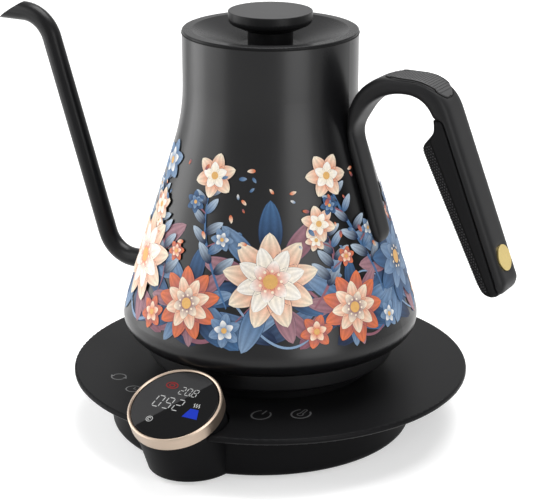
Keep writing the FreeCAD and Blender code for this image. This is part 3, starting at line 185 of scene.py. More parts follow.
class GarlandPrint(bpy.types.PropertyGroup):
    """The generic blossom print round the shell's cone."""

    neck_radius: length("Neck radius", "Outer radius at the top of the cone", 0.0408)
    neck_height: length("Neck height", "Height at which the cone meets the neck", 0.1515)
    cone_slope: amount("Cone slope", "Growth of the radius per unit of drop", 33.3 / 108.0)
    belly_round: length("Belly round", "Radius of the rounding under the cone", 0.010)
    floor_height: length("Floor height", "Height of the shell's underside", 0.0435)
    lift: length("Lift", "Height of the first print layer above the coat", 0.00006)
    layer: length("Layer", "Height of each further print layer", 0.00003)
    seed: whole("Seed", "Fixed seed of the print", 11)
    drift: whole("Drift", "Number of drifting petals", 90)
    thicket: whole("Thicket", "Broad leaves round the belly", 44)
    blossoms: whole("Blossoms", "Large blossoms in the ring", 10)
    start: angle("Start", "Place of the first blossom round the axis", -61.0)


class DialFace(bpy.types.PropertyGroup):
    """Lit figures of the tilted dial."""

    tilt: angle("Tilt", "Lean of the dial towards the front", 25.2)
    centre_y: length("Centre Y", "Middle of the glass", -0.0883)
    centre_z: length("Centre Z", "Height of the middle of the glass", 0.0363)
    lift: length("Lift", "Height of the lit figures above the glass", 0.00005)
    upper: bpy.props.StringProperty(name="Upper figures", description="Small figures", default="20.8")
    lower: bpy.props.StringProperty(name="Lower figures", description="Large figures", default="092")


class Studio(bpy.types.PropertyGroup):
    """Camera, floor and surrounding light."""

    azimuth: angle("Azimuth", "Turn of the camera round the object", 29.0)
    reach: length("Reach", "Horizontal distance of the camera", 0.862333)
    height: length("Height", "Height of the camera", 0.379956)
    pitch: amount("Pitch", "Downward tilt of the camera in radians", 0.331985)
    focal: amount("Focal", "Lens in millimetres", 128.9)
    shift: amount("Shift", "Sideways lens shift", -3.9 / 533.0)
    floor: length("Floor", "Radius of the floor", 6.0)
    fill: amount("Fill", "Strength of the even light", 0.22)


def set_inputs(tree, node, inputs):
    """Gives each input of a node a value or another node's output."""
    for key, value in inputs.items():
        if isinstance(value, bpy.types.NodeSocket):
            tree.links.new(value, node.inputs[key])
        else:
            node.inputs[key].default_value = value


def add_node(tree, kind, inputs=None, **settings):
    """A shader or geometry node with its settings and inputs."""
    node = tree.nodes.new(kind)
    for key, value in settings.items():
        setattr(node, key, value)
    set_inputs(tree, node, inputs or {})
    return node


def calc(tree, operation, *terms):
    """The output of a math node; each term is a number or another node's output."""
    return add_node(tree, "ShaderNodeMath", dict(enumerate(terms)), operation=operation).outputs["Value"]


SOCKETS = {float: "Float", int: "Int", tuple: "Vector"}


def new_group(name, kind, inputs, outputs):
    """A node group; each input is given by its default, or by its kind of socket where it has none.

    Returns the group, its input sockets and its end node.
    """
    group = bpy.data.node_groups.new(name, kind)
    for label, value in inputs.items():
        socket = SOCKETS.get(type(value), value)
        item = group.interface.new_socket(name=label, in_out="INPUT", socket_type=f"NodeSocket{socket}")
        if socket != value:
            item.default_value = value
    for label, socket in outputs.items():
        group.interface.new_socket(name=label, in_out="OUTPUT", socket_type=f"NodeSocket{socket}")
    return group, group.nodes.new("NodeGroupInput").outputs, group.nodes.new("NodeGroupOutput")


def grain_group():
    """Fine grain with slow clouding, shared by most finishes."""
    name = "Fine grain"
    if name in bpy.data.node_groups:
        return bpy.data.node_groups[name]
    group, start, end = new_group(
        name,
        "ShaderNodeTree",
        {
            "Colour": "Color",
            "Variation": 0.2,
            "Roughness": 0.4,
            "Spread": 0.06,
            "Scale": 1800.0,
            "Stretch": (1.0, 1.0, 1.0),
            "Turn": (0.0, 0.0, 0.0),
        },
        {"Colour": "Color", "Roughness": "Float", "Height": "Float"},
    )
    place = add_node(group, "ShaderNodeTexCoord").outputs["Object"]
    turned = {"Vector": place, "Rotation": start["Turn"]}
    turn = add_node(group, "ShaderNodeVectorRotate", turned, rotation_type="EULER_XYZ")
    stretched = {0: turn.outputs["Vector"], 1: start["Stretch"]}
    stretch = add_node(group, "ShaderNodeVectorMath", stretched, operation="MULTIPLY")
    speckle = {"Vector": stretch.outputs["Vector"], "Scale": start["Scale"], "Detail": 2.0, "Roughness": 0.6}
    fine = add_node(group, "ShaderNodeTexNoise", speckle).outputs["Fac"]
    clouding = {"Vector": place, "Scale": 38.0, "Detail": 3.0}
    cloud = add_node(group, "ShaderNodeTexNoise", clouding).outputs["Fac"]
    centred = calc(group, "SUBTRACT", calc(group, "ADD", fine, cloud), 1.0)
    tone = calc(group, "MULTIPLY_ADD", centred, start["Variation"], 1.0)
    shade = add_node(group, "ShaderNodeHueSaturation", {"Color": start["Colour"], "Value": tone})
    rough = calc(group, "MULTIPLY_ADD", centred, start["Spread"], start["Roughness"])
    set_inputs(group, end, {"Colour": shade.outputs["Color"], "Roughness": rough, "Height": fine})
    return group


def border_group():
    """A mask that is nought before a plane and one beyond it."""
    name = "Plane border"
    if name in bpy.data.node_groups:
        return bpy.data.node_groups[name]
    group, start, end = new_group(
        name,
        "ShaderNodeTree",
        {"Direction": (-0.7, 0.6, 0.3), "Offset": 0.0, "Softness": 0.0008},
        {"Mask": "Float"},
    )
    place = add_node(group, "ShaderNodeTexCoord").outputs["Object"]
    pair = {0: place, 1: start["Direction"]}
    along = add_node(group, "ShaderNodeVectorMath", pair, operation="DOT_PRODUCT")
    far = calc(group, "ADD", start["Offset"], start["Softness"])
    span = {"Value": along.outputs["Value"], "From Min": start["Offset"], "From Max": far}
    edge = add_node(group, "ShaderNodeMapRange", span, interpolation_type="SMOOTHSTEP")
    set_inputs(group, end, {"Mask": edge.outputs["Result"]})
    return group


def blank(name):
    """A new node material; returns it with its tree and its shader."""
    mat = bpy.data.materials.new(name)
    mat.use_nodes = True
    tree = mat.node_tree
    return mat, tree, tree.nodes["Principled BSDF"]


def use_group(tree, group, **inputs):
    """The outputs of a group node with its inputs."""
    return add_node(tree, "ShaderNodeGroup", inputs, node_tree=group).outputs


def relief(tree, height, strength, distance=0.0002):
    """A bumped normal from a height."""
    bump = {"Height": height, "Strength": strength, "Distance": distance}
    return add_node(tree, "ShaderNodeBump", bump).outputs["Normal"]


def finish_of(
    name,
    tint,
    rough,
    specular=0.5,
    metallic=0.0,
    bump=0.04,
    spread=0.05,
    vary=0.25,
    scale=1800.0,
    stretch=(1.0, 1.0, 1.0),
    turn=(0.0, 0.0, 0.0),
):
    """A grained finish: colour, roughness and a fine bump from the shared group."""
    mat, tree, shader = blank(name)
    grain = use_group(
        tree,
        grain_group(),
        Colour=(*tint, 1.0),
        Roughness=rough,
        Spread=spread,
        Variation=vary,
        Scale=scale,
        Stretch=stretch,
        Turn=turn,
    )
    surface = {
        "Base Color": grain["Colour"],
        "Roughness": grain["Roughness"],
        "Normal": relief(tree, grain["Height"], bump),
        "Metallic": metallic,
        "Specular IOR Level": specular,
    }
    set_inputs(tree, shader, surface)
    return mat


def glass_finish(name, look, face):
    """Black glass whose upper left half is painted lighter with a soft edge, a painted reflection."""
    mat, tree, shader = blank(name)
    turn = math.radians(145.0)
    upward = np.array([0.0, math.cos(face.tilt), math.sin(face.tilt)])
    way = math.cos(turn) * np.array([1.0, 0.0, 0.0]) + math.sin(turn) * upward
    middle = np.array([0.0, face.centre_y, face.centre_z])
    # The upper left half takes the lighter colour: a painted reflection.
    half = use_group(tree, border_group(), Direction=tuple(way), Offset=float(way @ middle))
    halves = {"Factor": half["Mask"], "A": (*look.glass, 1.0), "B": (*look.glass_painted_reflection, 1.0)}
    mix = add_node(tree, "ShaderNodeMix", halves, data_type="RGBA")
    surface = {"Base Color": mix.outputs["Result"], "Roughness": 0.08, "Specular IOR Level": 0.1}
    set_inputs(tree, shader, surface)
    return mat


def strip_frame(look):
    """The grip's inner edge: its direction, the direction into the grip, its upper end and its length."""
    low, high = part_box("finger_grip")
    start = np.array([low.x, 0.0, high.z - look.strip_drop])
    edge = np.array([high.x - look.strip_end, 0.0, low.z]) - start
    run = float(np.linalg.norm(edge))
    along = edge / run
    return along, np.array([-along[2], 0.0, along[0]]), start, run


def grip_finish(name, look):
    """Smooth side panel, parted by a fine groove from the pimpled strip along the grip's inner edge; the
    groove is painted darker, as painted shade.
    """
    groove_width, edge_softness = 0.0006, 0.0001
    mat, tree, shader = blank(name)
    _, way, start, _ = strip_frame(look)
    border = float(way @ start) + look.strip_width
    grain = use_group(tree, grain_group(), Colour=(*look.panel, 1.0), Roughness=0.5)
    panel, beyond = (
        use_group(tree, border_group(), Direction=tuple(way), Offset=offset, Softness=edge_softness)["Mask"]
        for offset in (border, border + groove_width)
    )
    # The groove's colour drops to a fifth of the panel's: painted shade in the groove.
    depth = {"Value": calc(tree, "SUBTRACT", panel, beyond), "To Min": 1.0, "To Max": 0.2}
    tone = add_node(tree, "ShaderNodeMapRange", depth).outputs["Result"]
    shade = add_node(tree, "ShaderNodeHueSaturation", {"Color": grain["Colour"], "Value": tone})
    surface = {
        "Base Color": shade.outputs["Color"],
        "Roughness": grain["Roughness"],
        "Normal": relief(tree, beyond, 0.6, 0.0004),
        "Specular IOR Level": 0.05,
    }
    set_inputs(tree, shader, surface)
    return mat


def ink_finish(name, layer):
    """Printed ink whose colour is painted on the mesh."""
    mat, tree, shader = blank(name)
    tint = add_node(tree, "ShaderNodeAttribute", attribute_name=layer).outputs["Color"]
    grain = use_group(
        tree, grain_group(), Colour=tint, Roughness=0.50, Spread=0.08, Variation=0.35, Scale=900.0
    )
    surface = {
        "Base Color": grain["Colour"],
        "Roughness": grain["Roughness"],
        "Normal": relief(tree, grain["Height"], 0.05),
        "Specular IOR Level": 0.15,
    }
    set_inputs(tree, shader, surface)
    return mat


def lamp_finish(name, tint, strength):
    """A lit figure with a slightly uneven glow."""
    mat, tree, shader = blank(name)
    grain = use_group(tree, grain_group(), Colour=(*tint, 1.0), Variation=0.3, Scale=1200.0)
    surface = {
        "Base Color": (0.002, 0.002, 0.002, 1.0),
        "Specular IOR Level": 0.0,
        "Emission Color": grain["Colour"],
        "Emission Strength": strength,
    }
    set_inputs(tree, shader, surface)
    return mat


def slot_finishes(look, face):
    """One finish for each material slot of the record."""
    black = tuple(look.moulding)
    coat = tuple(look.coat)
    lid_black = (0.008, 0.008, 0.0085)
    matt = look.moulding_roughness
    brushed_round = {"stretch": (90.0, 90.0, 5200.0), "turn": (-face.tilt, 0.0, 0.0)}
    brushed_up = {"stretch": (300.0, 300.0, 2600.0)}
    return {
        "shell_coat": finish_of("Body coat", coat, look.coat_roughness, specular=0.28),
        "spout_coat": finish_of("Spout coat", coat, look.coat_roughness + 0.02, specular=0.15),
        "lid_coat": finish_of("Lid coat", lid_black, 0.28, specular=0.06),
        "knob_black": finish_of("Knob black", lid_black, 0.34, specular=0.11),
        "handle_black": finish_of("Handle black", black, matt, bump=0.07, specular=0.17),
        "grip_black": grip_finish("Grip black", look),
        "pad_rubber": finish_of("Pad rubber", (0.034, 0.034, 0.035), 0.5, specular=0.3),
        "gold_metal": finish_of(
            "Gold metal",
            tuple(look.gold),
            look.gold_roughness,
            metallic=1.0,
            bump=0.12,
            spread=0.14,
            scale=1.0,
            **brushed_round,
        ),
        "base_black": finish_of("Base black", black, matt, bump=0.06, specular=0.05),
        "plate_black": finish_of("Plate black", (0.006, 0.006, 0.0065), 0.40, bump=0.06, specular=0.045),
        "foot_black": finish_of("Foot black", (0.004, 0.004, 0.0045), 0.36, specular=0.15),
        "lens_black": glass_finish("Lens black", look, face),
        "screen": finish_of("Screen", (0.01, 0.012, 0.02), 0.2, scale=300.0),
        "dark_rubber": finish_of("Dark rubber", (0.02, 0.02, 0.021), 0.78, scale=1200.0, bump=0.2),
        "steel": finish_of(
            "Steel", (0.46, 0.46, 0.47), 0.34, metallic=1.0, bump=0.05, scale=1.0, **brushed_up
        ),
        "heater_alloy": finish_of(
            "Heater alloy", (0.62, 0.62, 0.63), 0.45, metallic=1.0, scale=500.0, bump=0.15
        ),
        "contact_brass": finish_of("Contact brass", (0.70, 0.50, 0.22), 0.28, metallic=1.0, scale=900.0),
        "board_green": finish_of("Board green", (0.01, 0.09, 0.035), 0.4, vary=0.5, scale=420.0),
        "component_dark": finish_of("Component dark", (0.03, 0.03, 0.034), 0.5, scale=700.0, bump=0.1),
        "inner_plastic": finish_of("Inner plastic", (0.05, 0.05, 0.052), 0.5, scale=1100.0, bump=0.1),
    }


def circle(sides, radius):
    """Evenly spaced points of a flat circle."""
    steps = np.linspace(0.0, math.tau, sides, endpoint=False)
    return np.stack([np.cos(steps), np.sin(steps)], axis=1) * radius


def corners(mesh):
    """The points of a mesh, one in each row."""
    flat = np.zeros(3 * len(mesh.vertices))
    mesh.vertices.foreach_get("co", flat)
    return flat.reshape(-1, 3)


def smooth(mesh):
    """Shades every face smoothly."""
    mesh.polygons.foreach_set("use_smooth", [True] * len(mesh.polygons))


def link_object(name, data):
    """A new object in the scene."""
    obj = bpy.data.objects.new(name, data)
    bpy.context.scene.collection.objects.link(obj)
    return obj


def add_piece(name, mesh, material, body):
    """A piece at the origin that rides a body."""
    mesh.materials.clear()
    mesh.materials.append(material)
    obj = link_object(name, mesh)
    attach(obj, body)
    return obj


def new_piece(name, verts, faces, material, body):
    """A piece from points and faces."""
    mesh = bpy.data.meshes.new(name)
    mesh.from_pydata([tuple(map(float, v)) for v in verts], [], [tuple(map(int, f)) for f in faces])
    mesh.validate()
    return add_piece(name, mesh, material, body)


def paint(mesh, layer, tints):
    """Stores one colour per vertex."""
    data = mesh.attributes.new(layer, "FLOAT_COLOR", "POINT")
    flat = np.ones((len(tints), 4))
    flat[:, :3] = tints
    data.data.foreach_set("color", flat.ravel())


def end_tree(group, end, geometry, material):
    """Ends a geometry group with real geometry that has its material."""
    real = add_node(group, "GeometryNodeRealizeInstances", {"Geometry": geometry}).outputs["Geometry"]
    dressed = add_node(group, "GeometryNodeSetMaterial", {"Geometry": real, "Material": material})
    set_inputs(group, end, {"Geometry": dressed.outputs["Geometry"]})


def whorl_tree():
    """Petals set round a middle: each is a shaped grid, turned by its number."""
    group, start, end = new_group(
        "PetalWhorl",
        "GeometryNodeTree",
        {
            "Petals": 8,
            "Hub": 0.12,
            "Length": 0.88,
            "Width": 0.42,
            "Point": 0.7,
            "Round": 0.62,
            "Ink": "Material",
        },
        {"Geometry": "Geometry"},
    )
    sheet = {"Size X": 1.0, "Size Y": 1.0, "Vertices X": 9, "Vertices Y": 14}
    mesh = add_node(group, "GeometryNodeMeshGrid", sheet).outputs["Mesh"]
    spot = add_node(group, "GeometryNodeInputPosition").outputs["Position"]
    part = add_node(group, "ShaderNodeSeparateXYZ", {"Vector": spot}).outputs
    along = calc(group, "ADD", part["Y"], 0.5)
    bend = calc(group, "POWER", along, start["Point"])
    swell = calc(group, "SINE", calc(group, "MULTIPLY", bend, math.pi))
    belly = calc(group, "POWER", calc(group, "MAXIMUM", swell, 0.0), start["Round"])
    crowd = calc(group, "SINE", calc(group, "MULTIPLY", part["X"], math.pi))
    side = calc(group, "MULTIPLY", calc(group, "MULTIPLY", crowd, 0.5), belly)
    wide = calc(group, "MULTIPLY", side, start["Width"])
    reach = calc(group, "MULTIPLY_ADD", along, start["Length"], start["Hub"])
    for name, value in (("along", along), ("across", part["X"])):
        kept = {"Geometry": mesh, "Name": name, "Value": value}
        mesh = add_node(group, "GeometryNodeStoreNamedAttribute", kept, data_type="FLOAT").outputs["Geometry"]
    outline = add_node(group, "ShaderNodeCombineXYZ", {"X": wide, "Y": reach}).outputs["Vector"]
    petal = add_node(group, "GeometryNodeSetPosition", {"Geometry": mesh, "Position": outline})
    points = add_node(group, "GeometryNodePoints", {"Count": start["Petals"]})
    number = add_node(group, "GeometryNodeInputIndex").outputs["Index"]
    turn = calc(group, "MULTIPLY", number, calc(group, "DIVIDE", math.tau, start["Petals"]))
    spin = add_node(group, "ShaderNodeCombineXYZ", {"Z": turn})
    spread = {
        "Points": points.outputs["Points"],
        "Instance": petal.outputs["Geometry"],
        "Rotation": spin.outputs["Vector"],
    }
    put = add_node(group, "GeometryNodeInstanceOnPoints", spread)
    end_tree(group, end, put.outputs["Instances"], start["Ink"])
    return group


def drift_tree():
    """Places for drifting petals: seeded points on a flat sheet, one small quad on each."""
    group, start, end = new_group(
        "PetalDrift",
        "GeometryNodeTree",
        {"Width": 6.0, "Height": 1.0, "Count": 100.0, "Seed": 0, "Ink": "Material"},
        {"Geometry": "Geometry"},
    )
    single = {"Vertices X": 2, "Vertices Y": 2}
    wide = {"Size X": start["Width"], "Size Y": start["Height"], **single}
    sheet = add_node(group, "GeometryNodeMeshGrid", wide).outputs["Mesh"]
    thick = calc(group, "DIVIDE", start["Count"], calc(group, "MULTIPLY", start["Width"], start["Height"]))
    strewn = {"Mesh": sheet, "Density": thick, "Seed": start["Seed"]}
    points = add_node(group, "GeometryNodeDistributePointsOnFaces", strewn).outputs["Points"]
    mark = add_node(group, "GeometryNodeMeshGrid", {"Size X": 0.01, "Size Y": 0.01, **single}).outputs["Mesh"]
    put = add_node(group, "GeometryNodeInstanceOnPoints", {"Points": points, "Instance": mark})
    end_tree(group, end, put.outputs["Instances"], start["Ink"])
    return group


def trim_tree():
    """A thin round line along a path."""
    group, start, end = new_group(
        "TrimLine",
        "GeometryNodeTree",
        {"Geometry": "Geometry", "Radius": 0.0003, "Finish": "Material"},
        {"Geometry": "Geometry"},
    )
    path = add_node(group, "GeometryNodeMeshToCurve", {"Mesh": start["Geometry"]}).outputs["Curve"]
    ring = {"Resolution": 8, "Radius": start["Radius"]}
    profile = add_node(group, "GeometryNodeCurvePrimitiveCircle", ring)
    sweep = {"Curve": path, "Profile Curve": profile.outputs["Curve"]}
    tube = add_node(group, "GeometryNodeCurveToMesh", sweep)
    end_tree(group, end, tube.outputs["Mesh"], start["Finish"])
    return group


def pimple_tree():
    """A low dome on each directed point."""
    group, start, end = new_group(
        "GripPimples",
        "GeometryNodeTree",
        {"Geometry": "Geometry", "Radius": 0.0004, "Height": 0.0002, "Finish": "Material"},
        {"Geometry": "Geometry"},
    )
    way = add_node(group, "GeometryNodeInputNamedAttribute", {"Name": "way"}, data_type="FLOAT_VECTOR")
    turn = add_node(
        group, "FunctionNodeAlignRotationToVector", {"Vector": way.outputs["Attribute"]}, axis="Z"
    )
    size = {"X": start["Radius"], "Y": start["Radius"], "Z": start["Height"]}
    dome = add_node(group, "GeometryNodeMeshIcoSphere", {"Radius": 1.0, "Subdivisions": 1})
    spread = {
        "Points": start["Geometry"],
        "Instance": dome.outputs["Mesh"],
        "Rotation": turn.outputs["Rotation"],
        "Scale": add_node(group, "ShaderNodeCombineXYZ", size).outputs["Vector"],
    }
    put = add_node(group, "GeometryNodeInstanceOnPoints", spread)
    end_tree(group, end, put.outputs["Instances"], start["Finish"])
    return group


def socket_id(group, label):
    """Identifier of a group's named input."""
    for item in group.interface.items_tree:
        if item.item_type == "SOCKET" and item.in_out == "INPUT" and item.name == label:
            return item.identifier
    raise KeyError(label)


def grow(group, values, path=(), ways=None):
    """Evaluates a geometry group once, on a closed path or on directed points; returns its mesh data."""
    guide = bpy.data.meshes.new("grower")
    edges = [(i, (i + 1) % len(path)) for i in range(len(path))] if ways is None else []
    guide.from_pydata(list(path), edges, [])
    if ways is not None:
        guide.attributes.new("way", "FLOAT_VECTOR", "POINT").data.foreach_set("vector", np.ravel(ways))
    holder = link_object("grower", guide)
    modifier = holder.modifiers.new("Grow", "NODES")
    modifier.node_group = group
    for label, value in values.items():
        modifier[socket_id(group, label)] = value
    holder.update_tag()
    depsgraph = bpy.context.evaluated_depsgraph_get()
    mesh = bpy.data.meshes.new_from_object(holder.evaluated_get(depsgraph))
    verts = corners(mesh)
    faces = [tuple(p.vertices) for p in mesh.polygons]
    stored = {}
    for key in ("along", "across"):
        if key in mesh.attributes:
            stored[key] = np.zeros(len(mesh.vertices))
            mesh.attributes[key].data.foreach_get("value", stored[key])
    holder.modifiers.clear()
    bpy.data.objects.remove(holder)
    bpy.data.meshes.remove(mesh)
    if not faces:
        raise RuntimeError(f"{group.name} grew nothing")
    return verts, faces, stored


def grown_piece(name, tree, values, path, ways=None):
    """A smooth piece of the kettle, grown once from a geometry group."""
    verts, faces, _ = grow(tree, values, path, ways)
    smooth(new_piece(name, verts, faces, values["Finish"], "kettle").data)


def ray_tree(obj):
    """A search tree for rays that meet an object."""
    return BVHTree.FromObject(obj, bpy.context.evaluated_depsgraph_get())


def rotate(flat, turn):
    """Turns flat points about the origin."""
    c, s = math.cos(turn), math.sin(turn)
    return flat @ np.array([[c, s], [-s, c]])


def outward(face, verts):
    """The face, wound so that it looks away from the upright axis."""
    a, b, c = (verts[face[i]] for i in (0, 1, 2))
    normal = np.cross(b - a, c - a)
    middle = verts[list(face)].mean(axis=0)
    if normal[0] * middle[0] + normal[1] * middle[1] < 0.0:
        return tuple(reversed(face))
    return face


def spaced(count, gap):
    """Numbers up to a count: first those a gap apart, then their neighbours, until all are taken."""
    return [k for first in range(gap) for k in range(first, count, gap)]


class Printer:
    """Collects flat print elements, wraps them round the shell and paints them."""

    def __init__(self, plan, material, tree, stack):
        self.plan = plan
        self.material = material
        self.tree = tree
        self.stack = stack
        self.whorls = {}
        self.verts = []
        self.faces = []
        self.tints = []
        self.count = 0

    def cone(self, z):
        """Radius of the cone's outside at a height."""
        return self.plan.neck_radius + self.plan.cone_slope * (self.plan.neck_height - z)

    def skin(self, theta, z, lift):
        """Points at a height above the shell's outside."""
        curve = self.plan.belly_round
        lean = math.atan(self.plan.cone_slope)
        hub_z = self.plan.floor_height + curve
        hub_r = self.cone(hub_z) - curve / math.cos(lean)
        drop = np.clip((z - hub_z) / curve, -0.95, 1.0)
        swell = np.sqrt(1.0 - drop**2)
        low = z < hub_z + curve * math.sin(lean)
        out = np.where(low, swell, math.cos(lean))
        up = np.where(low, drop, math.sin(lean))
        radius = np.where(low, hub_r + curve * swell, self.cone(z)) + lift * out
        return np.stack([radius * np.cos(theta), radius * np.sin(theta), z + lift * up], axis=1)

    def lift(self, theta, z):
        """Height of the first free print layer over these points, which then counts as taken."""
        column = np.floor(np.mod(theta, math.tau) / CELL_TURN).astype(int)
        row = np.floor(z / CELL_RISE).astype(int)
        top = int(self.stack[row, column].max()) + 1
        self.stack[row, column] = top
        return self.plan.lift + self.plan.layer * top

    def add(self, verts, faces, tints):
        """Notes wrapped points with their faces and colours."""
        self.verts.append(verts)
        self.faces.extend(tuple(i + self.count for i in face) for face in faces)
        self.tints.append(np.broadcast_to(tints, (len(verts), 3)))
        self.count += len(verts)

    def put(self, flat, faces, tints, at):
        """Wraps a flat element, given in metres, round its place (angle, height)."""
        z = at[1] + flat[:, 1] * math.cos(math.atan(self.plan.cone_slope))
        theta = at[0] + flat[:, 0] / self.cone(z)
        self.add(self.skin(theta, z, self.lift(theta, z)), faces, tints)

    def whorl(self, shape):
        """A unit whorl, grown once for each shape."""
        if shape not in self.whorls:
            values = dict(zip(("Petals", "Hub", "Length", "Width", "Point"), shape))
            self.whorls[shape] = grow(self.tree, {**values, "Ink": self.material})
        return self.whorls[shape]

    def petals(self, at, radius, turn, shape, inner, outer, vein):
        """One whorl of petals, shaded from its middle outwards, with a dark outline."""
        rim_start, vein_turns = 0.49, 8.0
        verts, faces, stored = self.whorl(shape)
        fade = np.clip(stored["along"] * 1.25 - 0.15, 0.0, 1.0)[:, None]
        tints = np.array(inner) * (1.0 - fade) + np.array(outer) * fade
        stripe = 1.0 - vein * (0.5 + 0.5 * np.cos(stored["across"] * vein_turns * math.pi))[:, None]
        rim = (np.abs(stored["across"]) > rim_start)[:, None]
        self.put(rotate(verts[:, :2], turn) * radius, faces, np.where(rim, NAVY, tints * stripe), at)

    def bloom(self, at, radius, turn, tones, whorls):
        """Whorls of petals one on another, the largest first."""
        for whorl in whorls:
            inks = (tones[whorl.inner], tones[whorl.outer])
            self.petals(at, radius * whorl.size, turn + whorl.turn, whorl.shape, *inks, whorl.vein)

    def disc(self, at, radius, sides):
        """A golden middle, fanned out from its centre."""
        fan = [(0, i + 1, (i + 1) % sides + 1) for i in range(sides)]
        self.put(np.concatenate([np.zeros((1, 2)), circle(sides, radius)]), fan, GOLDEN, at)

    def blossom(self, at, radius, turn, tones):
        """A large blossom with a golden middle and a ring of stamens."""
        stamens, sides = 9, 10
        self.bloom(at, radius, turn, tones, BLOSSOM)
        self.disc(at, radius * 0.15, 24)
        for k in range(stamens):
            off = rotate(np.array([[radius * 0.22, 0.0]]), turn + k * math.tau / stamens)[0]
            self.put(circle(sides, radius * 0.03) + off, [tuple(range(sides))], CREAM, at)

    def floret(self, at, radius, turn, tones):
        """A small blossom with a golden middle."""
        self.bloom(at, radius, turn, tones, FLORET)
        self.disc(at, radius * 0.17, 14)

    def leaf(self, at, size, turn, width, inks, hub=0.0):
        """A single pointed leaf with a darker rim, starting at a share of its reach."""
        self.petals(at, size, turn, PetalShape(1, hub, 1.0 - hub, width, 0.85), *inks, 0.3)

    def stroke(self, line, width, tint):
        """A tapering line through (angle, height) places."""
        line = np.array(line)
        count = len(line)
        swell = np.sin(math.pi * np.clip(np.linspace(0.0, 1.0, count) * 0.9 + 0.08, 0, 1))
        half = 0.5 * width * (0.35 + 0.65 * swell)
        radius = self.cone(line[:, 1])
        flow = np.gradient(np.stack([line[:, 0] * radius, line[:, 1]], axis=1), axis=0)
        flow /= np.linalg.norm(flow, axis=1)[:, None]
        normal = np.stack([-flow[:, 1], flow[:, 0]], axis=1) * half[:, None]
        lift = self.lift(line[:, 0], line[:, 1])
        both = []
        for sign in (-1.0, 1.0):
            theta = line[:, 0] + sign * normal[:, 0] / radius
            both.append(self.skin(theta, line[:, 1] + sign * normal[:, 1], lift))
        faces = [(i, i + 1, count + i + 1, count + i) for i in range(count - 1)]
        self.add(np.concatenate(both), faces, tint)

    def finish(self, name):
        """Joins everything into one painted piece, faces outwards."""
        verts = np.concatenate(self.verts)
        faces = [outward(face, verts) for face in self.faces]
        obj = new_piece(name, verts, faces, self.material, "kettle")
        paint(obj.data, "ink", np.concatenate(self.tints))


SEGMENTS = {
    "0": "abcdef",
    "1": "bc",
    "2": "abged",
    "3": "abgcd",
    "4": "fgbc",
    "5": "afgcd",
    "6": "afgedc",
    "7": "abc",
    "8": "abcdefg",
    "9": "abcdfg",
}


class Sketcher:
    """Collects flat figures in a plane and turns them into one thin piece."""

    def __init__(self, middle, across, upward):
        self.middle = np.array(middle)
        self.across = np.array(across)
        self.upward = np.array(upward)
        self.verts = []
        self.faces = []

    def polygon(self, points):
        """A filled polygon, wound to look along the plane's normal."""
        points = np.array(points)
        after = np.roll(points, -1, axis=0)
        turning = np.sum(points[:, 0] * after[:, 1] - points[:, 1] * after[:, 0])
        if turning < 0.0:
            points = points[::-1]
        start = len(self.verts)
        self.verts.extend(self.middle + x * self.across + y * self.upward for x, y in points)
        self.faces.append(tuple(range(start, start + len(points))))

    def line(self, points, width):
        """A line of even width through points."""
        points = np.array(points, float)
        flow = np.gradient(points, axis=0)
        flow /= np.linalg.norm(flow, axis=1)[:, None]
        side = np.stack([-flow[:, 1], flow[:, 0]], axis=1) * width / 2
        near, far = points - side, points + side
        for i in range(len(points) - 1):
            self.polygon([near[i], near[i + 1], far[i + 1], far[i]])

    def arc(self, middle, radius, start, stop, width, squeeze=1.0):
        """Part of a ring; angles in degrees."""
        steps = np.radians(np.linspace(start, stop, max(4, int(abs(stop - start) / 9))))
        points = np.stack([np.cos(steps) * radius, np.sin(steps) * radius * squeeze], axis=1)
        self.line(points + np.array(middle), width)

    def figure(self, sign, corner, height, width):
        """A seven-segment figure, slightly slanted."""
        gap, slant = 0.14, 0.14
        w = height * 0.5
        h = height
        ends = {
            "a": ((0, h), (w, h)),
            "b": ((w, h), (w, h / 2)),
            "c": ((w, h / 2), (w, 0)),
            "d": ((0, 0), (w, 0)),
            "e": ((0, 0), (0, h / 2)),
            "f": ((0, h / 2), (0, h)),
            "g": ((0, h / 2), (w, h / 2)),
        }
        for key in SEGMENTS[sign]:
            pair = np.array(ends[key], float)
            trim = (pair[1] - pair[0]) * gap
            pair = np.array([pair[0] + trim, pair[1] - trim])
            pair[:, 0] += pair[:, 1] * slant
            self.line(pair + np.array(corner), width)

    def number(self, text, corner, height, width):
        """A row of figures with a decimal point."""
        x, y = corner
        for sign in text:
            if sign == ".":
                left, right, top = x - height * 0.18, x - height * 0.06, y + height * 0.12
                self.polygon([(left, y), (right, y), (right, top), (left, top)])
            else:
                self.figure(sign, (x, y), height, width)
                x += height * 0.78

    def finish(self, name, material, slot):
        """One thin piece of all the figures, which stays with the base."""
        new_piece(name, self.verts, self.faces, material, "base")


class KETTLE_OT_finishes(bpy.types.Operator):
    """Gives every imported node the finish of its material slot"""

    bl_idname = "kettle.finishes"
    bl_label = "Finishes"

    def execute(self, context):
        made = slot_finishes(context.scene.kettle_finish, context.scene.kettle_dial)
        badge_gold = (0.62, 0.48, 0.18)
        made["handle_badge"] = finish_of("Badge gold", badge_gold, 0.3, metallic=1.0, scale=900.0, bump=0.1)
        for node, slot in SLOTS.items():
            mesh = NODES[node].data
            mesh.materials.clear()
            mesh.materials.append(made.get(node, made[slot]))
        return {"FINISHED"}


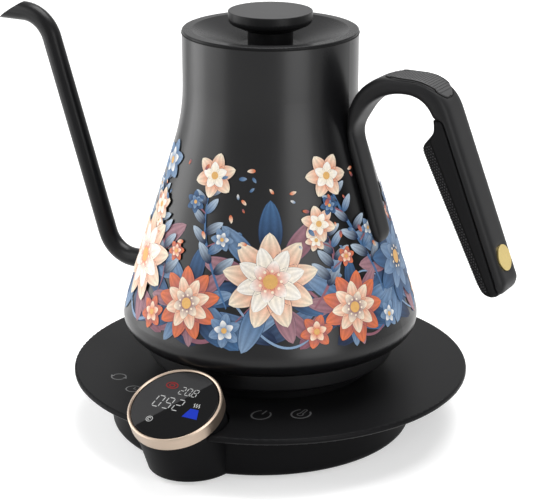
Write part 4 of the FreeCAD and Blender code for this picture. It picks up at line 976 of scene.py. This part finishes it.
class KETTLE_OT_garland(bpy.types.Operator):
    """Prints the blossom garland round the shell's cone"""

    bl_idname = "kettle.garland"
    bl_label = "Garland print"

    def execute(self, context):
        plan = context.scene.kettle_print
        material = ink_finish("Print ink", "ink")
        tree = whorl_tree()
        stack = np.zeros((int(plan.neck_height / CELL_RISE) + 1, int(math.tau / CELL_TURN) + 1), int)
        leaves = Printer(plan, material, tree, stack)
        blossoms = Printer(plan, material, tree, stack)
        rng = np.random.default_rng(plan.seed)
        self.thicket(leaves, rng, plan.thicket)
        self.vines(leaves)
        ring = []
        for k in range(plan.blossoms):
            row = k % 2
            theta = plan.start + math.tau * k / plan.blossoms
            z = ROW_HEIGHTS[row] + rng.uniform(-0.002, 0.002)
            radius = ROW_RADII[row] + rng.uniform(-0.001, 0.001)
            ring.append((theta, z, radius, TONES[(k + 1 if row else k // 2) % 4]))
        for theta, z, radius, _ in ring[::2] + ring[1::2]:
            self.fan(leaves, rng, theta, z, radius)
        self.sprays(leaves, blossoms, rng, plan)
        for theta, z, radius, tones in ring[1::2] + ring[::2]:
            blossoms.blossom((theta, z), radius, rng.uniform(0, 1), tones)
        for k in range(plan.blossoms):
            low = (plan.start + math.tau * (k + 0.5) / plan.blossoms, FLORET_HEIGHT + rng.uniform(0.0, 0.002))
            blossoms.floret(low, rng.uniform(0.0065, 0.008), rng.uniform(0, 1), TONES[(k + 2) % 4])
        self.drift(leaves, rng, plan)
        leaves.finish("print_leaves")
        blossoms.finish("print_blossoms")
        return {"FINISHED"}

    def thicket(self, printer, rng, count):
        """Broad leaves that overlap all round the belly, laid every fourth one first."""
        pairs = ((NAVY, SLATE), (SLATE, SKY), (NAVY, DENIM), (MAUVE, ROSE))
        lean = 0.85
        for k in spaced(count, 4):
            theta = math.tau * (k + rng.uniform(-0.3, 0.3)) / count
            turn = (lean if k % 2 else -lean) + rng.uniform(-0.35, 0.35)
            at = (theta, rng.uniform(0.057, 0.063))
            printer.leaf(at, rng.uniform(0.026, 0.040), turn, LEAF_WIDTH, pairs[k // 2 % len(pairs)])

    def vines(self, printer):
        """Two twining lines round the whole belly."""
        middle, swing, waves = 0.074, 0.014, 5
        theta = np.linspace(0.0, math.tau, 361)
        for shift, tint, width in ((0.0, MAUVE, 0.0024), (math.pi, SKY, 0.0016)):
            z = middle + swing * np.sin(theta * waves + shift)
            printer.stroke(np.stack([theta, z], axis=1), width, tint)

    def fan(self, printer, rng, theta, z, radius):
        """Leaves fanned out behind one blossom, every third one first."""
        pairs = ((NAVY, SLATE), (SLATE, SKY), (MAUVE, ROSE))
        count, hub = 9, 0.3
        for k in spaced(count, 3):
            turn = k * math.tau / count + rng.uniform(-0.25, 0.25)
            size = radius * rng.uniform(1.3, 1.7)
            fall = -math.cos(turn)
            if fall > 0.0:
                size = min(size, (z - PRINT_FOOT) / fall)
            printer.leaf((theta, z), size, turn, LEAF_WIDTH, pairs[k % len(pairs)], hub)

    def sprays(self, leaves, blossoms, rng, plan):
        """Stems that rise between the blossoms, with leaves, side florets and a blossom on top."""
        stem, twig, sway, slim = 0.0016, 0.0008, 0.20, 0.42
        aside, above = 0.13, 0.004
        steps = np.linspace(0.0, 1.0, 41)
        for k in range(plan.blossoms):
            tall = k % 2
            theta = plan.start + math.tau * (k + 0.5) / plan.blossoms
            bend = sway * np.sin(steps * 2.6 + 1.7 * k)
            rise = STEM_FOOT + (STEM_TOPS[tall] - STEM_FOOT) * steps
            line = np.stack([theta + bend - bend[0], rise], axis=1)
            leaves.stroke(line, stem, SLATE if tall else MAUVE)
            for i in range(10, 38, 3):
                side = 1.0 if i % 2 else -1.0
                size = 0.0135 - 0.006 * steps[i]
                inks = (NAVY if i % 4 else SLATE, MIST)
                leaves.leaf(tuple(line[i]), size, side * rng.uniform(0.6, 1.1), slim, inks)
            for i, side in ((18, 1.0), (28, -1.0)):
                spot = (line[i, 0] + side * aside, line[i, 1] + above)
                leaves.stroke(np.linspace(line[i], spot, 8), twig, MAUVE)
                blossoms.floret(spot, rng.uniform(0.0042, 0.0056), rng.uniform(0, 1), TONES[(k + i) % 4])
            blossoms.floret(tuple(line[-1]), CROWN_RADII[tall], rng.uniform(0, 1), TONES[k // 2 % 4])

    def drift(self, printer, rng, plan):
        """Loose petals scattered over the cone."""
        sheet = {"Width": math.tau, "Height": DRIFT_BAND, "Count": float(plan.drift), "Seed": plan.seed}
        spots, faces, _ = grow(drift_tree(), {**sheet, "Ink": printer.material})
        pairs = ((MAUVE, CORAL), (CORAL, CREAM), (SLATE, SKY), (SKY, PEARL))
        for face in faces:
            middle = spots[list(face)].mean(axis=0)
            at = (float(middle[0]), DRIFT_HEIGHT + float(middle[1]))
            inks = pairs[rng.integers(len(pairs))]
            turn = rng.uniform(0, math.tau)
            printer.leaf(at, rng.uniform(0.0020, 0.0042), turn, 0.5, inks)


class KETTLE_OT_dial(bpy.types.Operator):
    """Lights the figures and icons on the dial glass"""

    bl_idname = "kettle.dial"
    bl_label = "Dial figures"

    def execute(self, context):
        face = context.scene.kettle_dial
        lean = face.tilt
        middle = np.array([0.0, face.centre_y, face.centre_z])
        middle = middle + face.lift * np.array([0.0, -math.sin(lean), math.cos(lean)])
        plane = (middle, (MM, 0.0, 0.0), (0.0, MM * math.cos(lean), MM * math.sin(lean)))
        white, red, blue = (Sketcher(*plane) for _ in range(3))
        white.number(face.upper, (-2.0, 6.4), 4.3, 0.34)
        white.number(face.lower, (-10.6, -3.2), 6.6, 0.46)
        clock, element = (-7.4, -10.8), (-7.0, 10.4)
        white.arc(clock, 1.5, 0, 360, 0.35)
        white.arc(clock, 0.7, 30, 300, 0.35)
        steps = np.linspace(0.0, 1.0, 9)
        for k in range(3):
            steam = 9.3 + 1.2 * k + 0.35 * np.sin(steps * math.tau)
            white.line(np.stack([steam, 0.9 + 2.2 * steps], axis=1), 0.4)
        red.arc(element, 2.9, 0, 360, 0.5, 0.6)
        red.arc(element, 1.3, 0, 360, 0.5, 0.7)
        blue.polygon([(6.6, -5.6), (14.4, -5.6), (12.6, -0.2), (8.4, -0.2)])
        lit = (
            (white, "dial_figures", "Figure light", (0.80, 0.81, 0.80), 0.7),
            (red, "dial_heat_mark", "Heat light", (0.40, 0.03, 0.03), 0.7),
            (blue, "dial_kettle_mark", "Kettle light", (0.02, 0.05, 0.55), 0.9),
        )
        for drawn, name, finish, tint, strength in lit:
            drawn.finish(name, lamp_finish(finish, tint, strength), "screen")
        return {"FINISHED"}


class KETTLE_OT_icons(bpy.types.Operator):
    """Draws the faint touch icons on the base plate"""

    bl_idname = "kettle.icons"
    bl_label = "Touch icons"

    def execute(self, context):
        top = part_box("base_plate")[1].z + 0.00005
        drawn = Sketcher((0.0, 0.0, top), (MM, 0.0, 0.0), (0.0, MM, 0.0))
        power, heat, swap, timer = (29.1, -61.2), (44.4, -51.4), (-52.0, -55.0), (-38.0, -64.0)
        bold, medium, thin, hand = 0.8, 0.6, 0.55, 0.5
        drawn.arc(power, 4.2, 120, 420, bold, 1.2)
        drawn.line([(29.1, -60.4), (29.1, -55.8)], bold)
        drawn.arc(heat, 4.2, 125, 415, bold, 1.2)
        drawn.arc((44.4, -52.2), 1.3, 125, 415, thin)
        drawn.line([(43.7, -51.2), (43.7, -46.8)], thin)
        drawn.line([(45.1, -51.2), (45.1, -46.8)], thin)
        drawn.arc((44.4, -46.8), 0.7, 0, 180, thin)
        drawn.arc(swap, 3.4, 20, 165, medium)
        drawn.arc(swap, 3.4, 200, 345, medium)
        drawn.polygon([(-56.6, -54.6), (-54.2, -54.6), (-55.4, -56.6)])
        drawn.polygon([(-49.8, -55.4), (-47.4, -55.4), (-48.6, -53.4)])
        drawn.arc(timer, 3.4, 0, 360, medium)
        drawn.line([timer, (-38.0, -61.8)], hand)
        drawn.line([timer, (-36.4, -64.0)], hand)
        drawn.finish("touch_icons", finish_of("Icon grey", (0.10, 0.10, 0.102), 0.5), "plate_black")
        return {"FINISHED"}


class KETTLE_OT_handle(bpy.types.Operator):
    """Softens the moulded handle and sets the raised pimples of its grip and thumb pad"""

    bl_idname = "kettle.handle"
    bl_label = "Handle"

    def execute(self, context):
        look = context.scene.kettle_finish
        self.soften("handle_moulding", "handle_frame", look.frame_passes, look)
        grip = self.soften("grip_moulding", "finger_grip", look.grip_passes, look)
        tree = pimple_tree()
        rubber = finish_of("Pimple rubber", (0.020, 0.020, 0.021), 0.5, specular=0.25)
        size = {"Radius": look.dot_size, "Height": look.dot_height, "Finish": rubber}
        fields = (
            ("grip_pimples", "grip_black", self.strip_spots(grip, look)),
            ("pad_pimples", "pad_rubber", self.pad_spots(look)),
        )
        for name, slot, found in fields:
            spots, ways = ([tuple(vector) for vector in column] for column in zip(*found))
            grown_piece(name, tree, size, spots, ways)
        return {"FINISHED"}

    def soften(self, name, node, passes, look):
        """A merged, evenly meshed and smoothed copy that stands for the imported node."""
        source = NODES[node].data
        mesh = source.copy()
        shape = bmesh.new()
        shape.from_mesh(mesh)
        bmesh.ops.remove_doubles(shape, verts=shape.verts, dist=MERGE_GAP)
        shape.to_mesh(mesh)
        shape.free()
        holder = link_object("softener", mesh)
        even = holder.modifiers.new("Even", "REMESH")
        even.mode = "VOXEL"
        even.voxel_size = VOXEL
        soft = holder.modifiers.new("Soften", "SMOOTH")
        soft.factor = 0.5
        soft.iterations = passes
        made = bpy.data.meshes.new_from_object(holder.evaluated_get(bpy.context.evaluated_depsgraph_get()))
        bpy.data.objects.remove(holder)
        made.name = name
        self.round_end(made, look)
        smooth(made)
        obj = add_piece(name, made, source.materials[0], "kettle")
        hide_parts(node)
        return obj

    def round_end(self, mesh, look):
        """Draws the bevelled lower end of a handle piece to one rounded end, seam and all."""
        tiny = 1e-9
        along, way = strip_frame(look)[:2]
        plane = np.stack([way, along], axis=1)
        pair = [corners(NODES[node].data) for node in ("handle_frame", "finger_grip")]
        solid = np.concatenate(pair) @ plane
        solid = solid[solid[:, 1] > solid[:, 1].max() - look.end_length]
        hull = solid[convex_hull_2d(solid.tolist())]
        half = 0.5 * np.ptp(hull[:, 0])
        centre = np.array([hull[:, 0].min() + half, hull[:, 1].max() - half])
        edge = np.roll(hull, -1, axis=0) - hull
        face = np.stack([edge[:, 1], -edge[:, 0]], axis=1)
        gap = np.sum(face * (hull - centre), axis=1)
        face, gap = face * np.sign(gap)[:, None], np.abs(gap)

        def outline(heading):
            facing = heading @ face.T
            return np.where(facing > tiny, gap / np.maximum(facing, tiny), 1.0).min(axis=1)

        left, right, deep = outline(np.array([[-1.0, 0.0], [1.0, 0.0], [0.0, 1.0]]))
        place = corners(mesh)
        flat = place @ plane - centre
        heading = flat / np.maximum(np.linalg.norm(flat, axis=1), tiny)[:, None]
        side = np.abs(heading[:, 0]) / np.where(heading[:, 0] < 0.0, left, right)
        down = np.maximum(heading[:, 1], 0.0) / deep
        reach = (side**look.end_power + down**look.end_power) ** (-1.0 / look.end_power)
        growth = np.where(heading[:, 1] > 0.0, reach / outline(heading) - 1.0, 0.0)
        place += (flat * growth[:, None]) @ plane.T
        mesh.vertices.foreach_set("co", place.ravel())

    def strip_spots(self, grip, look):
        """Points with their normals on the grip's inner face and along both edges of its sides."""
        along, way, start, run = strip_frame(look)
        tree = ray_tree(grip)
        pitch = look.dot_pitch
        found = []
        for i in range(int(run / pitch)):
            shift = 0.5 * (i % 2)
            foot = start + along * (i + 0.5) * pitch
            for k in range(int(look.strip_width / pitch)):
                spot = foot + way * (k + 0.5 + shift) * pitch
                for side in (-1.0, 1.0):
                    eye = Vector(spot + (0, side * PROBE, 0))
                    found.append(tree.ray_cast(eye, Vector((0, -side, 0)), PROBE)[:2])
            for k in range(-8, 9):
                spot = foot - way * PROBE + np.array([0.0, (k + shift) * pitch, 0.0])
                found.append(tree.ray_cast(Vector(spot), Vector(way), 1.5 * PROBE)[:2])
        return [(hit, normal) for hit, normal in found if hit is not None]

    def pad_spots(self, look):
        """Points with their normals on the thumb pad's top."""
        low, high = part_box("thumb_pad")
        tree = ray_tree(NODES["thumb_pad"])
        pitch = look.dot_pitch
        found = []
        for i, x in enumerate(np.arange(low.x + PAD_MARGIN, high.x - PAD_MARGIN, pitch)):
            first = low.y + PAD_MARGIN + 0.5 * pitch * (i % 2)
            for y in np.arange(first, high.y - PAD_MARGIN, pitch):
                hit, normal = tree.ray_cast(Vector((x, y, high.z + 0.01)), Vector((0, 0, -1)), PROBE)[:2]
                if hit is not None and normal.z > PAD_SLOPE:
                    found.append((hit, normal))
        return found


class KETTLE_OT_trims(bpy.types.Operator):
    """Lays thin dark lines round the lid and the thumb pad, painted shade in the gaps there"""

    bl_idname = "kettle.trims"
    bl_label = "Seams"

    def execute(self, context):
        tree = trim_tree()
        # Near-black, dull lines in the gaps round the lid's rim and the thumb pad: painted shade.
        dark = finish_of("Seam painted shade", (0.0015, 0.0015, 0.0015), 0.6, specular=0.1)
        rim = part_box("kettle_shell")[1].z
        ring = [(x, y, rim) for x, y in circle(128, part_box("lid_dish")[1].x)]
        seams = (
            ("lid_seam_shade", "shell_coat", 0.00028, ring),
            ("pad_seam_shade", "handle_black", 0.00032, self.pad_outline()),
        )
        for name, slot, radius, path in seams:
            grown_piece(name, tree, {"Radius": radius, "Finish": dark}, path)
        return {"FINISHED"}

    def pad_outline(self):
        """The thumb pad's edge, dropped on the handle's outside."""
        square = 0.55
        low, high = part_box("thumb_pad")
        middle = ((low.x + high.x) / 2, (low.y + high.y) / 2)
        half = ((high.x - low.x) / 2, (high.y - low.y) / 2)
        outside = [ray_tree(obj) for obj in (bpy.data.objects["handle_moulding"], NODES["thumb_pad"])]
        path = []
        for a in np.linspace(0.0, math.tau, 96, endpoint=False):
            x = middle[0] + half[0] * math.copysign(abs(math.cos(a)) ** square, math.cos(a))
            y = middle[1] + half[1] * math.copysign(abs(math.sin(a)) ** square, math.sin(a))
            eye = Vector((x, y, high.z + 0.05))
            hits = [tree.ray_cast(eye, Vector((0, 0, -1)))[0] for tree in outside]
            path.append((x, y, max(hit.z for hit in hits if hit is not None)))
        return path


class KETTLE_OT_stage(bpy.types.Operator):
    """Sets the floor, the lamps, the world and the photo's camera"""

    bl_idname = "kettle.stage"
    bl_label = "Studio"

    def execute(self, context):
        studio = context.scene.kettle_studio
        self.floor(studio)
        self.world(context.scene, studio)
        self.lamps()
        self.camera(context.scene, studio)
        context.scene.view_settings.view_transform = "Standard"
        return {"FINISHED"}

    def floor(self, studio):
        """A wide pale floor that looks white and keeps the object's shadow."""
        depth, grey = -0.0002, 0.62
        ring = [(x, y, depth) for x, y in circle(96, studio.floor)]
        mesh = bpy.data.meshes.new("floor")
        mesh.from_pydata(ring, [], [tuple(range(len(ring)))])
        mat, tree, shader = blank("Floor white")
        mesh.materials.append(mat)
        place = add_node(tree, "ShaderNodeTexCoord").outputs["Object"]
        far = add_node(tree, "ShaderNodeVectorMath", {0: place}, operation="LENGTH").outputs["Value"]
        reach = {"Value": far, "From Min": 0.3, "From Max": 1.8, "To Min": 0.5, "To Max": 1.0}
        glow = add_node(tree, "ShaderNodeMapRange", reach).outputs["Result"]
        surface = {
            "Base Color": (grey, grey, grey, 1.0),
            "Roughness": 0.9,
            "Specular IOR Level": 0.0,
            "Emission Color": (1.0, 1.0, 1.0, 1.0),
            "Emission Strength": calc(tree, "MULTIPLY", self.seen(tree), glow),
        }
        set_inputs(tree, shader, surface)
        link_object("floor", mesh)

    def seen(self, tree):
        """1 for rays that look at the background: from the camera, off metal and through glass."""
        path = add_node(tree, "ShaderNodeLightPath").outputs
        mirrored = calc(tree, "MAXIMUM", path["Is Camera Ray"], path["Is Glossy Ray"])
        return calc(tree, "MAXIMUM", mirrored, path["Is Transmission Ray"])

    def world(self, scene, studio):
        """An even pale surrounding, white for rays that look at it."""
        world = bpy.data.worlds.new("Studio")
        world.use_nodes = True
        tree = world.node_tree
        span = {"Value": self.seen(tree), "To Min": studio.fill, "To Max": 1.0}
        level = add_node(tree, "ShaderNodeMapRange", span).outputs["Result"]
        set_inputs(tree, tree.nodes["Background"], {"Color": (1.0, 1.0, 1.0, 1.0), "Strength": level})
        scene.world = world

    def lamps(self):
        """Upright strips that the satin neck mirrors, a key and an overhead box."""
        aim = np.array([0.0, 0.0, 0.11])
        plan = (
            ("left_strip", (-0.428, -0.102, 0.23), (0.20, 0.44), 1.0),
            ("left_wash", (-0.346, -0.303, 0.23), (0.36, 0.44), 1.1),
            ("right_box", (0.388, -0.207, 0.23), (0.26, 0.44), 1.2),
            ("front_key", (-0.55, -1.05, 1.15), (0.7, 0.7), 2.5),
            ("overhead", (0.05, 0.35, 1.30), (0.9, 0.9), 24.0),
        )
        for name, place, size, power in plan:
            data = bpy.data.lights.new(name, "AREA")
            data.shape = "RECTANGLE"
            data.size, data.size_y = size
            data.energy = power
            lamp = link_object(name, data)
            lamp.location = place
            way = aim - np.array(place)
            flat = math.hypot(way[0], way[1])
            lamp.rotation_euler = (math.pi / 2 + math.atan2(way[2], flat), 0.0, math.atan2(-way[0], way[1]))

    def camera(self, scene, studio):
        """The photo's view."""
        data = bpy.data.cameras.new("photo")
        data.sensor_width = 36.0
        data.lens = studio.focal
        data.shift_x = studio.shift
        eye = link_object("photo", data)
        eye.location = (
            studio.reach * math.sin(studio.azimuth),
            -studio.reach * math.cos(studio.azimuth),
            studio.height,
        )
        eye.rotation_euler = (math.pi / 2 - studio.pitch, 0.0, studio.azimuth)
        scene.camera = eye


class KETTLE_PT_panel(bpy.types.Panel):
    """Lists the kettle's steps in the sidebar"""

    bl_idname = "KETTLE_PT_panel"
    bl_label = "Kettle"
    bl_space_type = "VIEW_3D"
    bl_region_type = "UI"
    bl_category = "Kettle"

    def draw(self, context):
        for operator in OPERATORS:
            self.layout.operator(operator.bl_idname)


SETTINGS = {
    "kettle_finish": KettleFinish,
    "kettle_print": GarlandPrint,
    "kettle_dial": DialFace,
    "kettle_studio": Studio,
}
OPERATORS = (
    KETTLE_OT_finishes,
    KETTLE_OT_garland,
    KETTLE_OT_dial,
    KETTLE_OT_icons,
    KETTLE_OT_handle,
    KETTLE_OT_trims,
    KETTLE_OT_stage,
)


def register():
    """Registers the settings, the operators and the panel."""
    for key, group in SETTINGS.items():
        bpy.utils.register_class(group)
        setattr(bpy.types.Scene, key, bpy.props.PointerProperty(type=group))
    for cls in (*OPERATORS, KETTLE_PT_panel):
        bpy.utils.register_class(cls)


def unregister():
    """Takes back what register added."""
    for cls in (KETTLE_PT_panel, *reversed(OPERATORS)):
        bpy.utils.unregister_class(cls)
    for key, group in SETTINGS.items():
        delattr(bpy.types.Scene, key)
        bpy.utils.unregister_class(group)


def main():
    """Runs every step."""
    register()
    bpy.ops.kettle.finishes()
    bpy.ops.kettle.garland()
    bpy.ops.kettle.dial()
    bpy.ops.kettle.icons()
    bpy.ops.kettle.handle()
    bpy.ops.kettle.trims()
    bpy.ops.kettle.stage()


if __name__ == "__main__":
    main()
